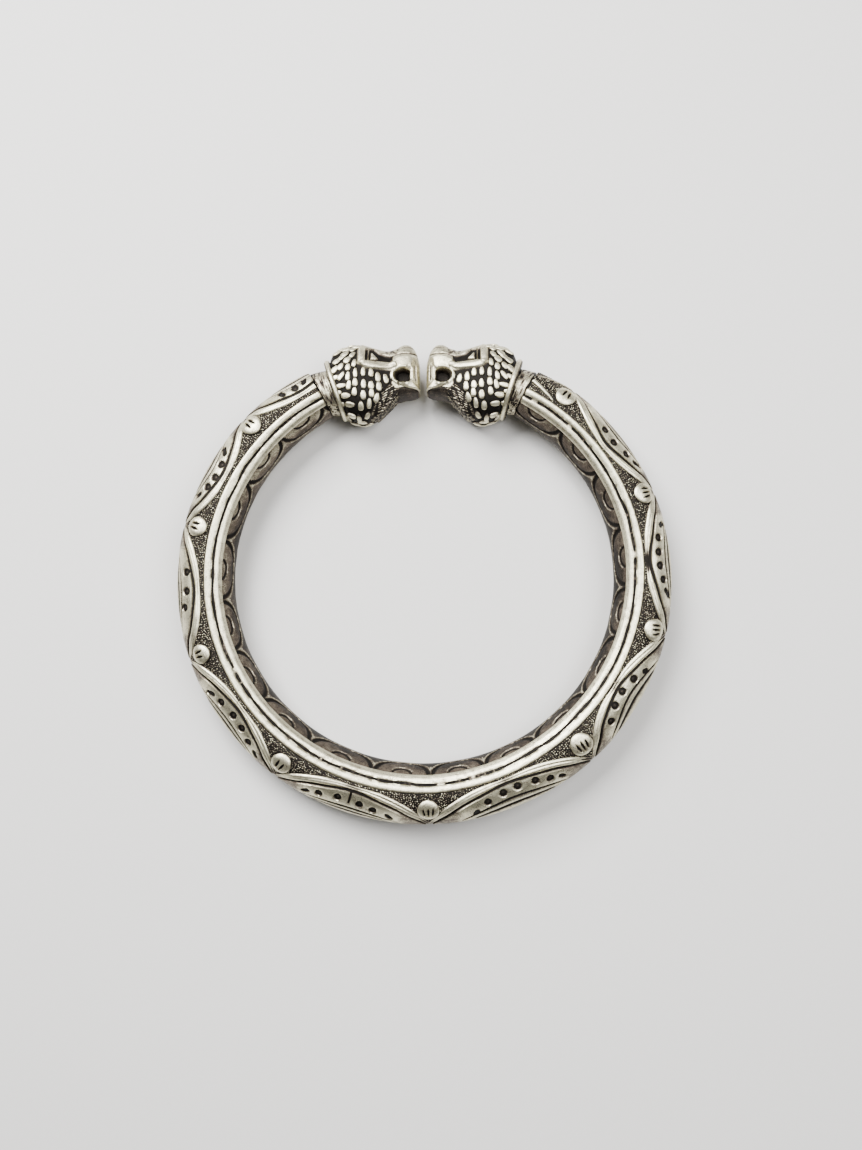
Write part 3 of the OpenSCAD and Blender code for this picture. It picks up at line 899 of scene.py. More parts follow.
def makeLeaves(name, chosen):
    parts = []
    sweep = np.sin(np.radians(np.linspace(-leaves["sweep"], leaves["sweep"], leaves["rows"])))
    sweep = sweep / math.sin(math.radians(leaves["sweep"]))
    for swag in chosen:
        angles = swag["middle"] + swag["half"] * leaves["reach"] * sweep
        angles = angles[(angles > bands["start"]) & (angles < bands["end"])]
        upper = leafRows(swag, angles)
        whole = [np.concatenate([values, values[:, -2::-1]], axis=1) for values in upper]
        whole[0][:, upper[0].shape[1]:] = -180 - upper[0][:, -2::-1]
        strip = closedUnder(*whole, leaves["underColumns"], leaves["sink"])
        turns, heights, brights = (values[:, ::-1] for values in strip)
        parts.append(loft(flat(angles[:, None], turns, heights), brights))
    points, faces, bright = joinParts(parts)
    return newMesh(name, points, faces, bright=bright)


for name, chosen in (("leaves_right", swags[:4]), ("leaves_left", swags[4:])):
    hoopPieces.append(makePiece(name, makeLeaves(name, chosen), layDrawing, onRing))


# The wires themselves. Loose strands at the right end: angle and turn at each end, width at each end
looseStrands = [
    ((29.6, -20), (36.6, -2.5), 0.8, 0.35),
    ((30.0, -40), (38.5, -76), 0.35, 0.6),
]


def strandLines():   # points and widths of each strand, on both halves of the tube
    lines = []
    for swag in swags:
        x = np.sin(np.radians(np.linspace(-wires["sweep"], wires["sweep"], wires["points"])))
        angle = swag["middle"] + swag["half"] * x
        angle, x = angle[angle < bands["end"]], x[angle < bands["end"]]
        width = wireWidth(swag, x)
        opened = swag["split"] * smooth(0.15, 0.4, -x) * (1 - smooth(0.93, 1.0, -x))
        apart = mixed(wires["together"], wires["apart"], opened) * mixed(0.4, 1, smooth(0, 0.3, width))
        spot = flat(angle, swagLine(swag, "wire", x), 0)
        step = np.gradient(spot, axis=0)
        across = np.stack([-step[:, 1], step[:, 0]], axis=1)
        across /= np.linalg.norm(across, axis=1)[:, None]
        for side in (1, -1):
            strand = spot.copy()
            strand[:, :2] += across * (apart * side)[:, None]
            lines.append((strand, width - apart * wires["overlap"]))
    t = np.linspace(0, 1, wires["loosePoints"])
    for (angleFrom, turnFrom), (angleTo, turnTo), widthFrom, widthTo in looseStrands:
        strand = flat(mixed(angleFrom, angleTo, t), mixed(turnFrom, turnTo, t), 0)
        lines.append((strand, mixed(widthFrom, widthTo, t)))
    return lines + [(lowerHalf(strand, radiusAlong(strand[:, 0])), width) for strand, width in lines]


def makeStrands():
    points, edges, width = [], [], []
    for strand, strandWidth in strandLines():
        start = len(points)
        points += strand.tolist()
        width += strandWidth.tolist()
        edges += [(i, i + 1) for i in range(start, len(points) - 1)]
    along, around, _ = np.array(points).T
    base = -outerDrop(np.degrees(-around / radiusAlong(along)))
    return newMesh("wires", points, edges=edges, width=width, base=base)


def strandTree():
    tree, given = startTree("sweepStrands", wrapSockets + [
        ("Sides", "Int", wires["sides"]), ("Flatten", "Float", wires["flatten"])])
    curve = addNode(tree, "GeometryNodeMeshToCurve", {0: given["Geometry"]})
    upright = addNode(tree, "GeometryNodeSetCurveNormal", {"Curve": curve}, mode="Z_UP")
    half = doMaths(tree, "MULTIPLY", namedField(tree, "width"), 0.5)
    thick = addNode(tree, "GeometryNodeSetCurveRadius", {"Curve": upright, "Radius": half})
    section = addNode(tree, "GeometryNodeCurvePrimitiveCircle", {
        "Resolution": given["Sides"], "Radius": 1.0})
    swept = addNode(tree, "GeometryNodeCurveToMesh", {
        "Curve": thick, "Profile Curve": section, "Fill Caps": True, "Scale": half})
    height = addNode(tree, "ShaderNodeSeparateXYZ", {0: position(tree)}).outputs["Z"]
    height = doMaths(tree, "SUBTRACT", height, namedField(tree, "base"))
    tone = remap(tree, height, wires["blackTo"], wires["brightFrom"], 0.0, 1.0)
    toned = storeField(tree, swept, "bright", tone)
    pressed = vectorMaths(tree, "MULTIPLY", position(tree), vectorOf(tree, 1.0, 1.0, given["Flatten"]))
    return wrapped(tree, moveTo(tree, toned, pressed), given)


hoopPieces.append(makePiece("wires", makeStrands(), strandTree(), onRing, sharp=80))


# Buttons: domes with two or three slots towards the outside, set out by a node tree

buttons = {
    "radius": 1.58,
    "height": 0.7,
    "rimShare": 0.35,        # height of the dome's rim
    "rings": 20,
    "sides": 52,
    "foot": -0.35,
    "slotWidth": {2: 0.46, 3: 0.36},
    "slotDepth": 0.32,
    "slotPlaces": {2: (-0.42, 0.42), 3: (-0.66, 0.0, 0.66)},
    "slotFrom": -0.42,
    "slotLength": 1.35,
    "slotSpread": (1.1, 0.75),   # how wide the slots stand apart at their foot and at their top
    "slotShade": 0.96,
    "rimBright": 0.35,
}

# Each button: angle round the ring, turn around the tube, number of slots, spin, size
buttonRows = [
    (38.7, -25, 2, 2, 1.0), (69.8, -27, 3, -4, 1.0), (103.6, -25, 3, 14, 1.04), (137.0, -16, 3, -8, 1.12),
    (178.5, -26, 3, 3, 1.03), (216.7, -24, 2, -6, 1.0), (250.3, -22, 2, -3, 0.93),
    (282.3, -17.5, 2, -8, 0.98), (311.4, -22, 2, 4, 1.0),
]


def makeButton(slots):
    away, turn = np.meshgrid(
        np.sin(np.linspace(0.03, 1, buttons["rings"]) * math.pi / 2) ** 0.9, circle(buttons["sides"]),
        indexing="ij")
    x, y = buttons["radius"] * away * np.cos(turn), buttons["radius"] * away * np.sin(turn)
    dome = np.sqrt(np.clip(1 - away ** 3, 0, 1))
    height = buttons["height"] * (buttons["rimShare"] + (1 - buttons["rimShare"]) * dome)
    bright = mixed(1.0, buttons["rimBright"], smooth(0.93, 1.0, away))
    tall = np.clip((y - buttons["slotFrom"]) / buttons["slotLength"], 0, 1)
    lens = buttons["slotWidth"][slots] * np.sqrt(np.clip(4 * tall * (1 - tall), 0, 1))
    for place in buttons["slotPlaces"][slots]:
        fromSlot = np.abs(x - place * mixed(*buttons["slotSpread"], tall))
        slot = (1 - smooth(lens / 2 - 0.1, lens / 2 + 0.01, fromSlot)) * (lens > 0.03)
        height = height - buttons["slotDepth"] * slot
        bright = bright * (1 - buttons["slotShade"] * slot)
    foot = np.stack([x[-1], y[-1], np.full(x[-1].shape, buttons["foot"])], axis=-1)[None]
    points = np.concatenate([np.stack([x, y, height], axis=-1), foot])[::-1]
    bright = np.concatenate([bright, np.zeros((1, len(x[-1])))])[::-1]
    points, faces, bright = loft(points, bright)
    return newMesh("button" + str(slots), points, faces, bright=bright)


def buttonSpots():
    angle, turn, slots, spin, size = np.array(buttonRows, float).T
    above = flat(angle, turn, 0)
    spin = np.concatenate([np.radians(spin), math.pi - np.radians(spin)])
    points = np.concatenate([above, lowerHalf(above, radiusAt(angle))])
    return newMesh("buttonSpots", points, slots=np.tile(slots, 2), spin=spin, size=np.tile(size, 2))


def buttonTree():
    tree, given = startTree("setButtons", wrapSockets + [
        ("Two slots", "Object", None), ("Three slots", "Object", None)])
    spin = vectorOf(tree, z=namedField(tree, "spin"))
    size = namedField(tree, "size")
    grown = vectorOf(tree, size, size, 1.0)
    three = doMaths(tree, "GREATER_THAN", namedField(tree, "slots"), 2.5)
    both = addNode(tree, "GeometryNodeJoinGeometry")
    for label, chosen in (("Two slots", doMaths(tree, "SUBTRACT", 1.0, three)), ("Three slots", three)):
        placed = setOut(tree, given["Geometry"], given[label], spin, grown, Selection=chosen)
        feed(tree, both, {0: placed})
    return wrapped(tree, realize(tree, both), given)


twoSlots, threeSlots = (newObject("button" + str(slots), makeButton(slots)) for slots in (2, 3))
helpers += [twoSlots, threeSlots]
hoopPieces.append(makePiece("buttons", buttonSpots(), buttonTree(), {
    **onRing, "Two slots": twoSlots, "Three slots": threeSlots}))


# The stippled ground: small punched grains between the outer band and the wires

grains = {
    "least": 0.24,            # mm between grains
    "crowd": 40.0,            # the most for each square mm
    "radius": 0.13,
    "height": 0.1,
    "sides": 5,
    "rings": [(1.0, -0.05, 0.0), (0.72, 0.75, 0.9), (0.25, 1.0, 1.0)],   # share, height, brightness
    "seed": 7,
    "sizeSeed": 3,
    "spinSeed": 5,
    "highest": -66,           # how far out around the tube they go between two wires
    "columns": 9,
    "fromBand": 4.6,          # degrees around the tube
    "fromWire": 4,
    "step": 0.6,              # degrees round the ring
    "patches": (0.35, 2.0),   # lumps per mm and detail of the darker patches
    "patchLift": 0.35,
    "shades": (0.1, 0.95, 0.5, 1.0),   # what is drawn, from and to, and the shades that it gives
    "sizes": (0.6, 1.15),
}


def makeGround():
    angles = np.arange(bands["start"] + 0.3, bands["end"] - 0.2, grains["step"])
    low = drifted(angles) + grains["fromBand"]
    high = np.full(angles.shape, 90.0)
    for swag in swags:
        x = (angles - swag["middle"]) / swag["half"]
        high = np.where(np.abs(x) <= 1, swagLine(swag, "wire", x) + grains["fromWire"], high)
    high = np.where(high == 90, equator, np.maximum(high, grains["highest"]))
    low = np.maximum(low, high + 0.2)
    parts = []
    for mirror in (False, True):
        turns = np.linspace(low, high, grains["columns"]).T
        turns = 180 - turns[:, ::-1] if mirror else turns
        points = flat(angles[:, None], turns - 360 * mirror, 0)
        faces = sheetFaces(len(angles), grains["columns"], closedAcross=False)
        parts.append((points, faces, np.zeros(points.shape[:2])))
    points, faces, _ = joinParts(parts)
    return newMesh("grains", points, faces)


def makeGrain():
    turn = circle(grains["sides"])
    points = np.stack([
        np.stack([away * grains["radius"] * np.cos(turn), away * grains["radius"] * np.sin(turn),
                  np.full(turn.shape, height * grains["height"])], axis=-1)
        for away, height, _ in grains["rings"]])
    bright = np.repeat([[shine] for _, _, shine in grains["rings"]], len(turn), axis=1)
    points, faces, bright = loft(points, bright)
    return newMesh("grain", points, faces, bright=bright)


def grainTree():
    tree, given = startTree("stippleGround", wrapSockets + [
        ("Grain", "Object", None), ("Least distance", "Float", grains["least"]),
        ("Seed", "Int", grains["seed"])])
    spots = addNode(tree, "GeometryNodeDistributePointsOnFaces", {
        "Mesh": given["Geometry"], "Distance Min": given["Least distance"],
        "Density Max": grains["crowd"], "Seed": given["Seed"]}, distribute_method="POISSON")
    patches = doMaths(tree, "ADD", noise(tree, position(tree), *grains["patches"]), grains["patchLift"])
    drawn = doMaths(tree, "MULTIPLY", randomValue(tree, 0.0, 1.0, given["Seed"]), patches)
    shaded = storeField(tree, spots, "shade", remap(tree, drawn, *grains["shades"]))
    size = randomValue(tree, *grains["sizes"], grains["sizeSeed"])
    spin = vectorOf(tree, z=randomValue(tree, 0.0, 6.28, grains["spinSeed"]))
    real = realize(tree, setOut(tree, shaded, given["Grain"], spin, size))
    tone = doMaths(tree, "MULTIPLY", namedField(tree, "bright"), namedField(tree, "shade"))
    return wrapped(tree, storeField(tree, real, "bright", tone), given)


grainShape = newObject("grain", makeGrain())
helpers.append(grainShape)
grainInputs = {**onRing, "Grain": grainShape}
hoopPieces.append(makePiece("grains", makeGround(), grainTree(), grainInputs, sharp=80))


# The lion heads. A head is drawn from its muzzle: X along it, Y above the collar's axis, Z to its side.

# Sections of a head as shares: place along it, crown and chin of its height, thickness, lean, neck
headColumns = ("along", "crown", "chin", "thick", "lean", "neck")
headRows = [
    (0.000, 0.330, 0.060, 0.40, 0.00, 0),
    (0.035, 0.450, 0.085, 0.54, 0.00, 0),
    (0.100, 0.548, 0.106, 0.63, 0.00, 0),
    (0.180, 0.568, 0.117, 0.68, 0.00, 0),
    (0.280, 0.519, 0.159, 0.72, 0.00, 0),
    (0.390, 0.488, 0.273, 0.80, 0.05, 0),
    (0.510, 0.523, 0.371, 0.91, 0.15, 0),
    (0.640, 0.564, 0.428, 0.98, 0.30, 0),
    (0.775, 0.548, 0.430, 1.00, 0.50, 0),
    (0.880, 0.490, 0.418, 0.98, 0.75, 0),
    (0.950, 0.440, 0.395, 0.96, 0.95, 0.4),
    (0.985, 0.352, 0.352, 0.92, 1.00, 1),
]

head = {
    "rows": 204,
    "columns": 220,
    "closer": 1.4,          # how much closer the rows and columns stand at the mouth's side
    "square": 2.3,          # 2 gives an oval section
    "neckShare": 0.9,
    "muzzleRound": 0.03,
    "muzzleUp": 1.9,        # where the middle of the muzzle's end is
    "muzzleEnd": 0.86,      # size of its flat end, a share of the muzzle's
    "muzzleBlend": 0.1,     # share of the head where that middle fades out
    "bright": 0.82,
    "mouth": (2.55, 1.72),
    "mouthHalf": (1.6, 1.2),
    "toothAt": 1.4,
    "mouthFloor": 1.34,     # mm from the head's middle plane
    "mouthRough": (0.3, 0.12),    # size and height of the marks on the mouth's floor
    "mouthBright": (0.05, 0.12),
    "rim": 0.44,
    "rimHeight": 0.2,
    "rimFrom": (1.3, 1.9),  # the rim fades in between these
}

# Marks on a side of the head, in order: kind, points in mm, width, height, brightness
fur = [(3.4, -0.9), (4.5, 0.3), (6.0, -1.2), (7.2, -3.4), (8.1, -6.0), (8.6, -7.5), (4.6, -7.5),
       (3.3, -2.2)]
headMarks = [
    ("patch", [(4.4, 2.4), (8.7, 2.6), (9.9, 3.4), (10.0, 8.5), (15, 8.5), (15, -7.5), (8.6, -7.5),
               (7.2, -4.3), (4.5, -0.7), (4.3, 0.8)], 0.3, -0.15, 0.04),
    ("patch", fur, 0.3, -0.12, 0.1),
    # Painted shade: the chin's underside, only darkened, neither raised nor sunk
    ("patch", [(0.2, -0.5), (2.7, -0.2), (3.8, -0.7), (4.4, -2.3), (2.9, -3.4), (0.2, -3.4)],
     0.3, 0.0, 0.28),
    ("patch", [(4.3, 4.9), (6.4, 5.5), (7.3, 6.3), (8.7, 6.3), (8.7, 4.1), (4.3, 3.9)],
     0.25, -0.38, 0.04),
    ("patch", [(6.5, 4.25), (7.75, 5.6), (7.75, 4.2)], 0.25, 0.45, 0.95),
    ("stroke", [(8.15, 6.2), (8.15, 4.2)], 0.34, 0.4, 0.95),
    ("stroke", [(9.2, 6.4), (9.25, 3.8)], 1.35, 0.25, 1.0),
    ("stroke", [(9.05, 3.4), (7.6, 3.1), (5.6, 3.1), (4.1, 3.3)], 1.2, 0.3, 1.0),
    ("patch", [(0.9, 4.9), (1.9, 5.3), (3.3, 5.1), (4.4, 4.4), (4.6, 3.4), (3.9, 3.1), (1.3, 3.1)],
     0.7, 0.3, 1.0),
    ("stroke", [(0.3, 5.45), (1.6, 5.55), (3.2, 5.5), (4.6, 4.95)], 0.3, -0.16, 0.05),
    ("stroke", [(0.5, 6.5), (1.6, 6.75), (2.8, 6.6)], 0.25, -0.1, 0.3),
    ("stroke", [(3.6, -1.0), (4.7, -2.3), (6.9, -4.7)], 0.42, 0.3, 0.8),
    ("patch", [(0.1, -0.45), (1.3, 1.0), (2.0, 0.85), (2.7, 0.55), (3.6, 0.4), (2.4, -0.05)],
     0.3, 0.28, 1.0),
    ("stroke", [(0.1, -0.65), (2.4, -0.25), (3.7, -0.5)], 0.2, -0.1, 0.1),
    ("stroke", [(0.6, 1.1), (0.66, 3.3)], 0.34, -0.24, 0.02),
    ("stroke", [(1.1, 1.3), (1.16, 3.0)], 0.5, 0.16, 1.0),
]
# Hair is cut in lines across the way given; then the size and share of what makes them waver
hairs = {"pitch": 0.34, "height": 0.1, "way": (0.5, 0.85, 0.5), "waver": (0.7, 0.25),
         "bright": (0.1, 0.85)}
speckled = {"corners": [(3.3, 5.6), (4.9, 5.0), (6.0, 6.0), (5.2, 7.0), (3.3, 7.2)], "size": 0.22,
            "depth": 0.07, "bright": 0.35}

# Tufts of the mane: place in mm as above, then the way its tip points, degrees from upright
tufts = [
    (10.6, 6.2, -25), (10.7, 5.0, -30), (11.6, 6.3, -45), (12.6, 6.1, -50), (13.3, 5.5, -50),
    (11.9, 5.15, -42), (10.35, 3.5, -10), (11.45, 4.05, -35), (12.35, 4.55, -45), (13.15, 3.85, -45),
    (11.4, 2.75, -5), (12.5, 2.9, -30), (13.35, 2.45, -40), (5.4, 1.0, 14), (6.6, 1.25, 0),
    (7.7, 1.85, 0), (8.85, 1.95, 0), (10.1, 1.85, 0), (11.35, 1.3, -8), (12.4, 1.35, -35),
    (13.3, 1.0, -60), (6.4, -0.25, 0), (7.6, -0.1, 0), (8.85, 0.1, 0), (10.1, 0.15, 0),
    (11.2, -0.25, -10), (12.3, -0.35, -78), (6.8, -2.0, -12), (7.6, -1.35, 0), (8.9, -1.75, 0),
    (10.25, -1.25, -5), (11.6, -1.9, -86), (13.0, -1.35, -82), (7.95, -3.0, 0), (9.3, -3.45, 0),
    (10.9, -3.2, -95), (12.5, -2.95, -95), (8.3, -4.7, -8), (9.7, -5.0, 0), (10.9, -4.6, 60),
    (12.1, -4.3, 66),
]
# The same over the crown and under the throat: place along the head, then off its middle plane
crownTufts = [(10.0, 0), (11.8, 0), (13.3, 0), (10.9, 1.45), (12.6, 1.5), (9.95, 2.6), (11.75, 2.7)]
throatTufts = [(8.1, 0), (10.3, 0), (12.4, 0), (9.2, 1.05), (11.35, 1.05), (13.3, 1.05)]
tuftShape = {"length": 1.8, "width": 1.0, "height": 0.36, "rows": 12, "columns": 10, "keel": -0.4,
             "sink": 0.06, "edgeBright": 0.1, "smallest": (0.82, 0.85, 0.85),
             "largest": (1.08, 1.12, 1.1), "seed": 4}


def eased(xs, ys, x):   # a soft curve through the rows of a table that never overshoots
    xs, ys = np.array(xs, float), np.array(ys, float)
    step = np.diff(ys) / np.diff(xs)
    slope = np.concatenate([[step[0]], (step[1:] + step[:-1]) / 2, [step[-1]]])
    slope[np.concatenate([[False], step[1:] * step[:-1] <= 0, [False]])] = 0
    i = np.clip(np.searchsorted(xs, x) - 1, 0, len(xs) - 2)
    width = xs[i + 1] - xs[i]
    t = np.clip((x - xs[i]) / width, 0, 1)
    return (ys[i] * (1 + 2 * t) * (1 - t) ** 2 + slope[i] * width * t * (1 - t) ** 2
            + ys[i + 1] * t * t * (3 - 2 * t) + slope[i + 1] * width * t * t * (t - 1))


def bareHead(place, around):   # a point of the head before its marks; around runs from the crown
    columns = [[row[k] for row in headRows] for k in range(len(headColumns))]
    share = {name: eased(columns[0], column, place) for name, column in zip(headColumns, columns)}
    power = 2 / head["square"]
    lean = collarTurn * share["lean"]
    c, s = np.cos(around), np.sin(around)
    neckRadius = ring["collarDiameter"] / 2 * head["neckShare"]
    tall = np.where(c > 0, share["crown"], share["chin"]) * ring["headHeight"]
    wide = share["thick"] * ring["headThickness"] / 2
    rounding = np.sqrt(np.clip(1 - (1 - np.clip(place / head["muzzleRound"], 0, 1)) ** 2, 0, 1))
    rounding = mixed(head["muzzleEnd"], 1, rounding)
    up = np.sign(c) * np.abs(c) ** power * mixed(tall, neckRadius, share["neck"])
    side = np.sign(s) * np.abs(s) ** power * mixed(wide, neckRadius, share["neck"]) * rounding
    middleUp = head["muzzleUp"] * (1 - np.clip(place / head["muzzleBlend"], 0, 1))
    up = middleUp + (up - middleUp) * rounding
    return np.stack([place * ring["headLength"] + up * np.sin(lean), up * np.cos(lean), side], axis=-1)


def outward(points):   # directions off a skin of rings
    along = np.gradient(points, axis=0)
    ahead = np.roll(points, -1, axis=1) - np.roll(points, 1, axis=1)
    normal = np.cross(ahead, along)
    return normal / np.maximum(np.linalg.norm(normal, axis=-1, keepdims=True), 1e-9)


def offLines(x, y, starts, ends):   # distance from the nearest of some straight lines
    best = np.full(np.shape(x), 1e9)
    for (ax, ay), (bx, by) in zip(starts, ends):
        wayX, wayY = bx - ax, by - ay
        t = np.clip(((x - ax) * wayX + (y - ay) * wayY) / (wayX ** 2 + wayY ** 2), 0, 1)
        best = np.minimum(best, np.hypot(x - ax - t * wayX, y - ay - t * wayY))
    return best


def strokeAt(x, y, points, width, soft):   # 1 on a line through the points, 0 beyond its width
    return 1 - smooth(width / 2 - soft, width / 2, offLines(x, y, points, points[1:]))


def patchAt(x, y, corners, soft):   # 1 inside a shape with straight sides, soft at its edge
    ends = corners[1:] + corners[:1]
    inside, best = np.zeros(np.shape(x), bool), offLines(x, y, corners, ends)
    for (ax, ay), (bx, by) in zip(corners, ends):
        if ay != by:
            crosses = (ay > y) != (by > y)
            inside ^= crosses & (x < (bx - ax) * (y - ay) / (by - ay) + ax)
    return smooth(-soft / 2, soft / 2, np.where(inside, best, -best))


def mouthAway(x, y):   # distance from the mouth's edge in mm, which is cut straight at the tooth
    (middleX, middleY), (halfX, halfY) = head["mouth"], head["mouthHalf"]
    oval = (np.hypot((x - middleX) / halfX, (y - middleY) / halfY) - 1) * min(halfX, halfY)
    return np.maximum(oval, head["toothAt"] - x)


def spread(whole, count, crowd):   # steps from 0 to the whole, closer where crowd is 1
    fine = np.linspace(0, whole, 2000)
    weight = np.cumsum(1 + head["closer"] * crowd(fine))
    return np.interp(np.linspace(weight[0], weight[-1], count), weight, fine)


def headSkin():
    place = spread(headRows[-1][0], head["rows"], lambda at: 1 - smooth(0.3, 0.6, at))
    around = spread(2 * math.pi, head["columns"] + 1, lambda at: np.sin(at) ** 2)[:-1]
    points = bareHead(*np.meshgrid(place, around, indexing="ij"))
    normal = outward(points)
    x, y, z = np.moveaxis(points, -1, 0)
    speck = grit(x, y, speckled["size"], 9) * patchAt(x, y, speckled["corners"], 0.5)
    speck = smooth(0.3, 0.8, speck)
    height, bright = 0 - speckled["depth"] * speck, mixed(head["bright"], speckled["bright"], speck)
    for kind, shape, width, raised, shine in headMarks:
        if kind == "patch":
            mark = patchAt(x, y, shape, width)
        else:
            mark = strokeAt(x, y, shape, width, min(width / 2, 0.34))
        height = height + raised * mark
        bright = mixed(bright, shine, mark)
    furry = patchAt(x, y, fur, 0.4)
    (wayX, wayY, wayZ), (waverSize, waver) = hairs["way"], hairs["waver"]
    way = x * wayX + y * wayY + np.abs(z) * wayZ + waver * grit(x, y, waverSize, 15)
    lines = 0.5 + 0.5 * np.sin(2 * math.pi * way / hairs["pitch"])
    height = height + furry * hairs["height"] * (lines - 0.5)
    shine = smooth(0.5, 0.9, lines) * smooth(0.3, 0.55, grit(x + z, y - z, 0.4, 14))
    bright = mixed(bright, mixed(*hairs["bright"], shine), furry)
    rim = 1 - smooth(0.0, head["rim"] / 2, np.abs(mouthAway(x, y) - head["rim"] / 2))
    behind = smooth(*head["rimFrom"], x)
    height = height + head["rimHeight"] * np.sqrt(rim) * behind
    bright = mixed(bright, 1.0, smooth(0.1, 0.5, rim) * behind)
    points = points + normal * height[..., None]
    x, y, z = np.moveaxis(points, -1, 0).copy()
    (roughSize, rough), (black, glint) = head["mouthRough"], head["mouthBright"]
    floor = np.sign(z) * (head["mouthFloor"] + rough * grit(x, y, roughSize, 12))
    deep = (np.abs(z) > head["mouthFloor"]) * (1 - smooth(-0.42, 0.02, mouthAway(x, y)))
    points[..., 2] = mixed(z, floor, deep)
    return normal, loft(points, mixed(bright, black + glint * grit(x, y, 0.15, 13), deep))


def makeTuft():
    t = np.linspace(0, 1, tuftShape["rows"])[:, None]
    s = np.linspace(-1, 1, tuftShape["columns"])[None, :]
    body = np.clip(1 - np.abs(2 * t ** 0.72 - 1) ** 2.1, 0.02, 1) ** 0.7
    wide = np.sign(s) * np.abs(s) ** 0.7 * tuftShape["width"] / 2 * body
    dome = np.clip(1 - np.abs(s) ** 4, 0, 1) ** 0.5
    high = dome * tuftShape["height"] * body ** 0.6
    long = (t - 0.5) * tuftShape["length"] + 0 * s
    points = np.stack([wide, long, high - tuftShape["sink"]], axis=-1)
    bright = mixed(tuftShape["edgeBright"], 1.0, smooth(0.25, 0.7, dome * body))
    keel = points[:, :1].copy()
    keel[..., 0], keel[..., 2] = 0, tuftShape["keel"]
    points = np.concatenate([points, keel], axis=1)
    points, faces, bright = loft(points, np.concatenate([bright, np.zeros((len(bright), 1))], axis=1))
    return newMesh("tuft", points, faces, bright=bright)


def tuftSpots(skin, normal, sign):
    spots = []
    for zSign in (1, -1):
        chosen = [(x, y, 1, skin[..., 2] * zSign >= -0.02, lean) for x, y, lean in tufts]
        for here, places in ((skin[..., 1] > 0, crownTufts), (skin[..., 1] < 0, throatTufts)):
            chosen += [(x, z * zSign, 2, here, -90) for x, z in places if z or zSign > 0]
        for x, other, axis, here, lean in chosen:
            away = np.hypot(skin[..., 0] - x, skin[..., axis] - other) + np.where(here, 0, 1e6)
            i = np.unravel_index(np.argmin(away), away.shape)
            way = np.array([math.sin(math.radians(lean)), math.cos(math.radians(lean)), 0])
            way = way - normal[i] * (way @ normal[i])
            spots.append((skin[i], normal[i], way / np.linalg.norm(way)))
    points, up, way = np.array(spots).transpose(1, 0, 2) * [sign, 1, 1]
    return newMesh("tuftSpots", points, up=up, way=way)


def maneTree():
    tree, given = startTree("setTufts", [
        ("Tuft", "Object", None), ("Shift", "Vector", (0, 0, 0)), ("Finish", "Material", None),
        ("Seed", "Int", tuftShape["seed"])])
    turn = addNode(tree, "FunctionNodeAxesToRotation", {
        0: namedField(tree, "up", "FLOAT_VECTOR"), 1: namedField(tree, "way", "FLOAT_VECTOR")},
        primary_axis="Z", secondary_axis="Y")
    sizes = {0: tuftShape["smallest"], 1: tuftShape["largest"], "Seed": given["Seed"]}
    size = addNode(tree, "FunctionNodeRandomValue", sizes, data_type="FLOAT_VECTOR")
    real = realize(tree, setOut(tree, given["Geometry"], given["Tuft"], turn, size))
    spot = position(tree)
    kept = storeField(tree, real, "flow", spot, "FLOAT_VECTOR")
    moved = vectorMaths(tree, "ADD", spot, given["Shift"])
    return endTree(tree, moveTo(tree, kept, vectorMaths(tree, "SCALE", moved, mm)), given["Finish"])


# The collar: a round band with a fine line near each edge, and the plug that goes into the tube
collar = {
    "sides": 128,
    "plugRadius": 2.7,
    "plugLength": 2.2,
    # distance along its axis, radius and brightness, from the head to the tube
    "profile": [
        (-0.47, 4.3, 0.05), (-0.47, 4.7, 0.1), (-0.44, 4.84, 0.5), (-0.37, 4.98, 0.9), (-0.26, 5.07, 1.0),
        (-0.13, 5.12, 1.0), (0.0, 5.13, 1.0), (0.12, 5.11, 1.0), (0.22, 5.05, 0.95), (0.29, 4.96, 0.7),
        (0.33, 4.88, 0.1), (0.37, 4.94, 0.6), (0.42, 4.92, 0.6), (0.45, 4.8, 0.15), (0.45, 4.0, 0.02),
    ],
    "plugBright": 0.02,
    "dented": 4.5,            # dents only outside this radius
    "dentDepth": 0.03,
    "dentSize": 0.9,
}


def makeCollar():
    back = ring["collarWidth"] / 2
    profile = collar["profile"] + [
        (along, collar["plugRadius"], collar["plugBright"])
        for along in (back, back + ring["seam"] + collar["plugLength"])]
    turn = circle(collar["sides"])
    rings = []
    for along, radius, _ in profile:
        dent = collar["dentDepth"] * (grit(turn * 5, along * 3, collar["dentSize"], 21) - 0.5)
        reach = radius + dent * (radius > collar["dented"])
        rings.append(np.stack([
            ring["headLength"] + along * tubeWay[0] + reach * np.cos(turn) * math.sin(collarTurn),
            along * tubeWay[1] + reach * np.cos(turn) * math.cos(collarTurn),
            reach * np.sin(turn)], axis=-1))
    return loft(np.stack(rings), np.repeat([[shine] for _, _, shine in profile], len(turn), axis=1))


def placedPiece(name, drawing, sign, place):   # a head drawing in metres, mirrored for the left
    points, faces, bright = drawing
    points = points.reshape(-1, 3) * [sign, 1, 1]
    faces = [face[::sign] for face in faces]
    mesh = newMesh(name, (points + place) * mm, faces, bright=bright, flow=points)
    mesh.materials.append(castSilver)
    soften(mesh, 60)
    return newObject(name, mesh)


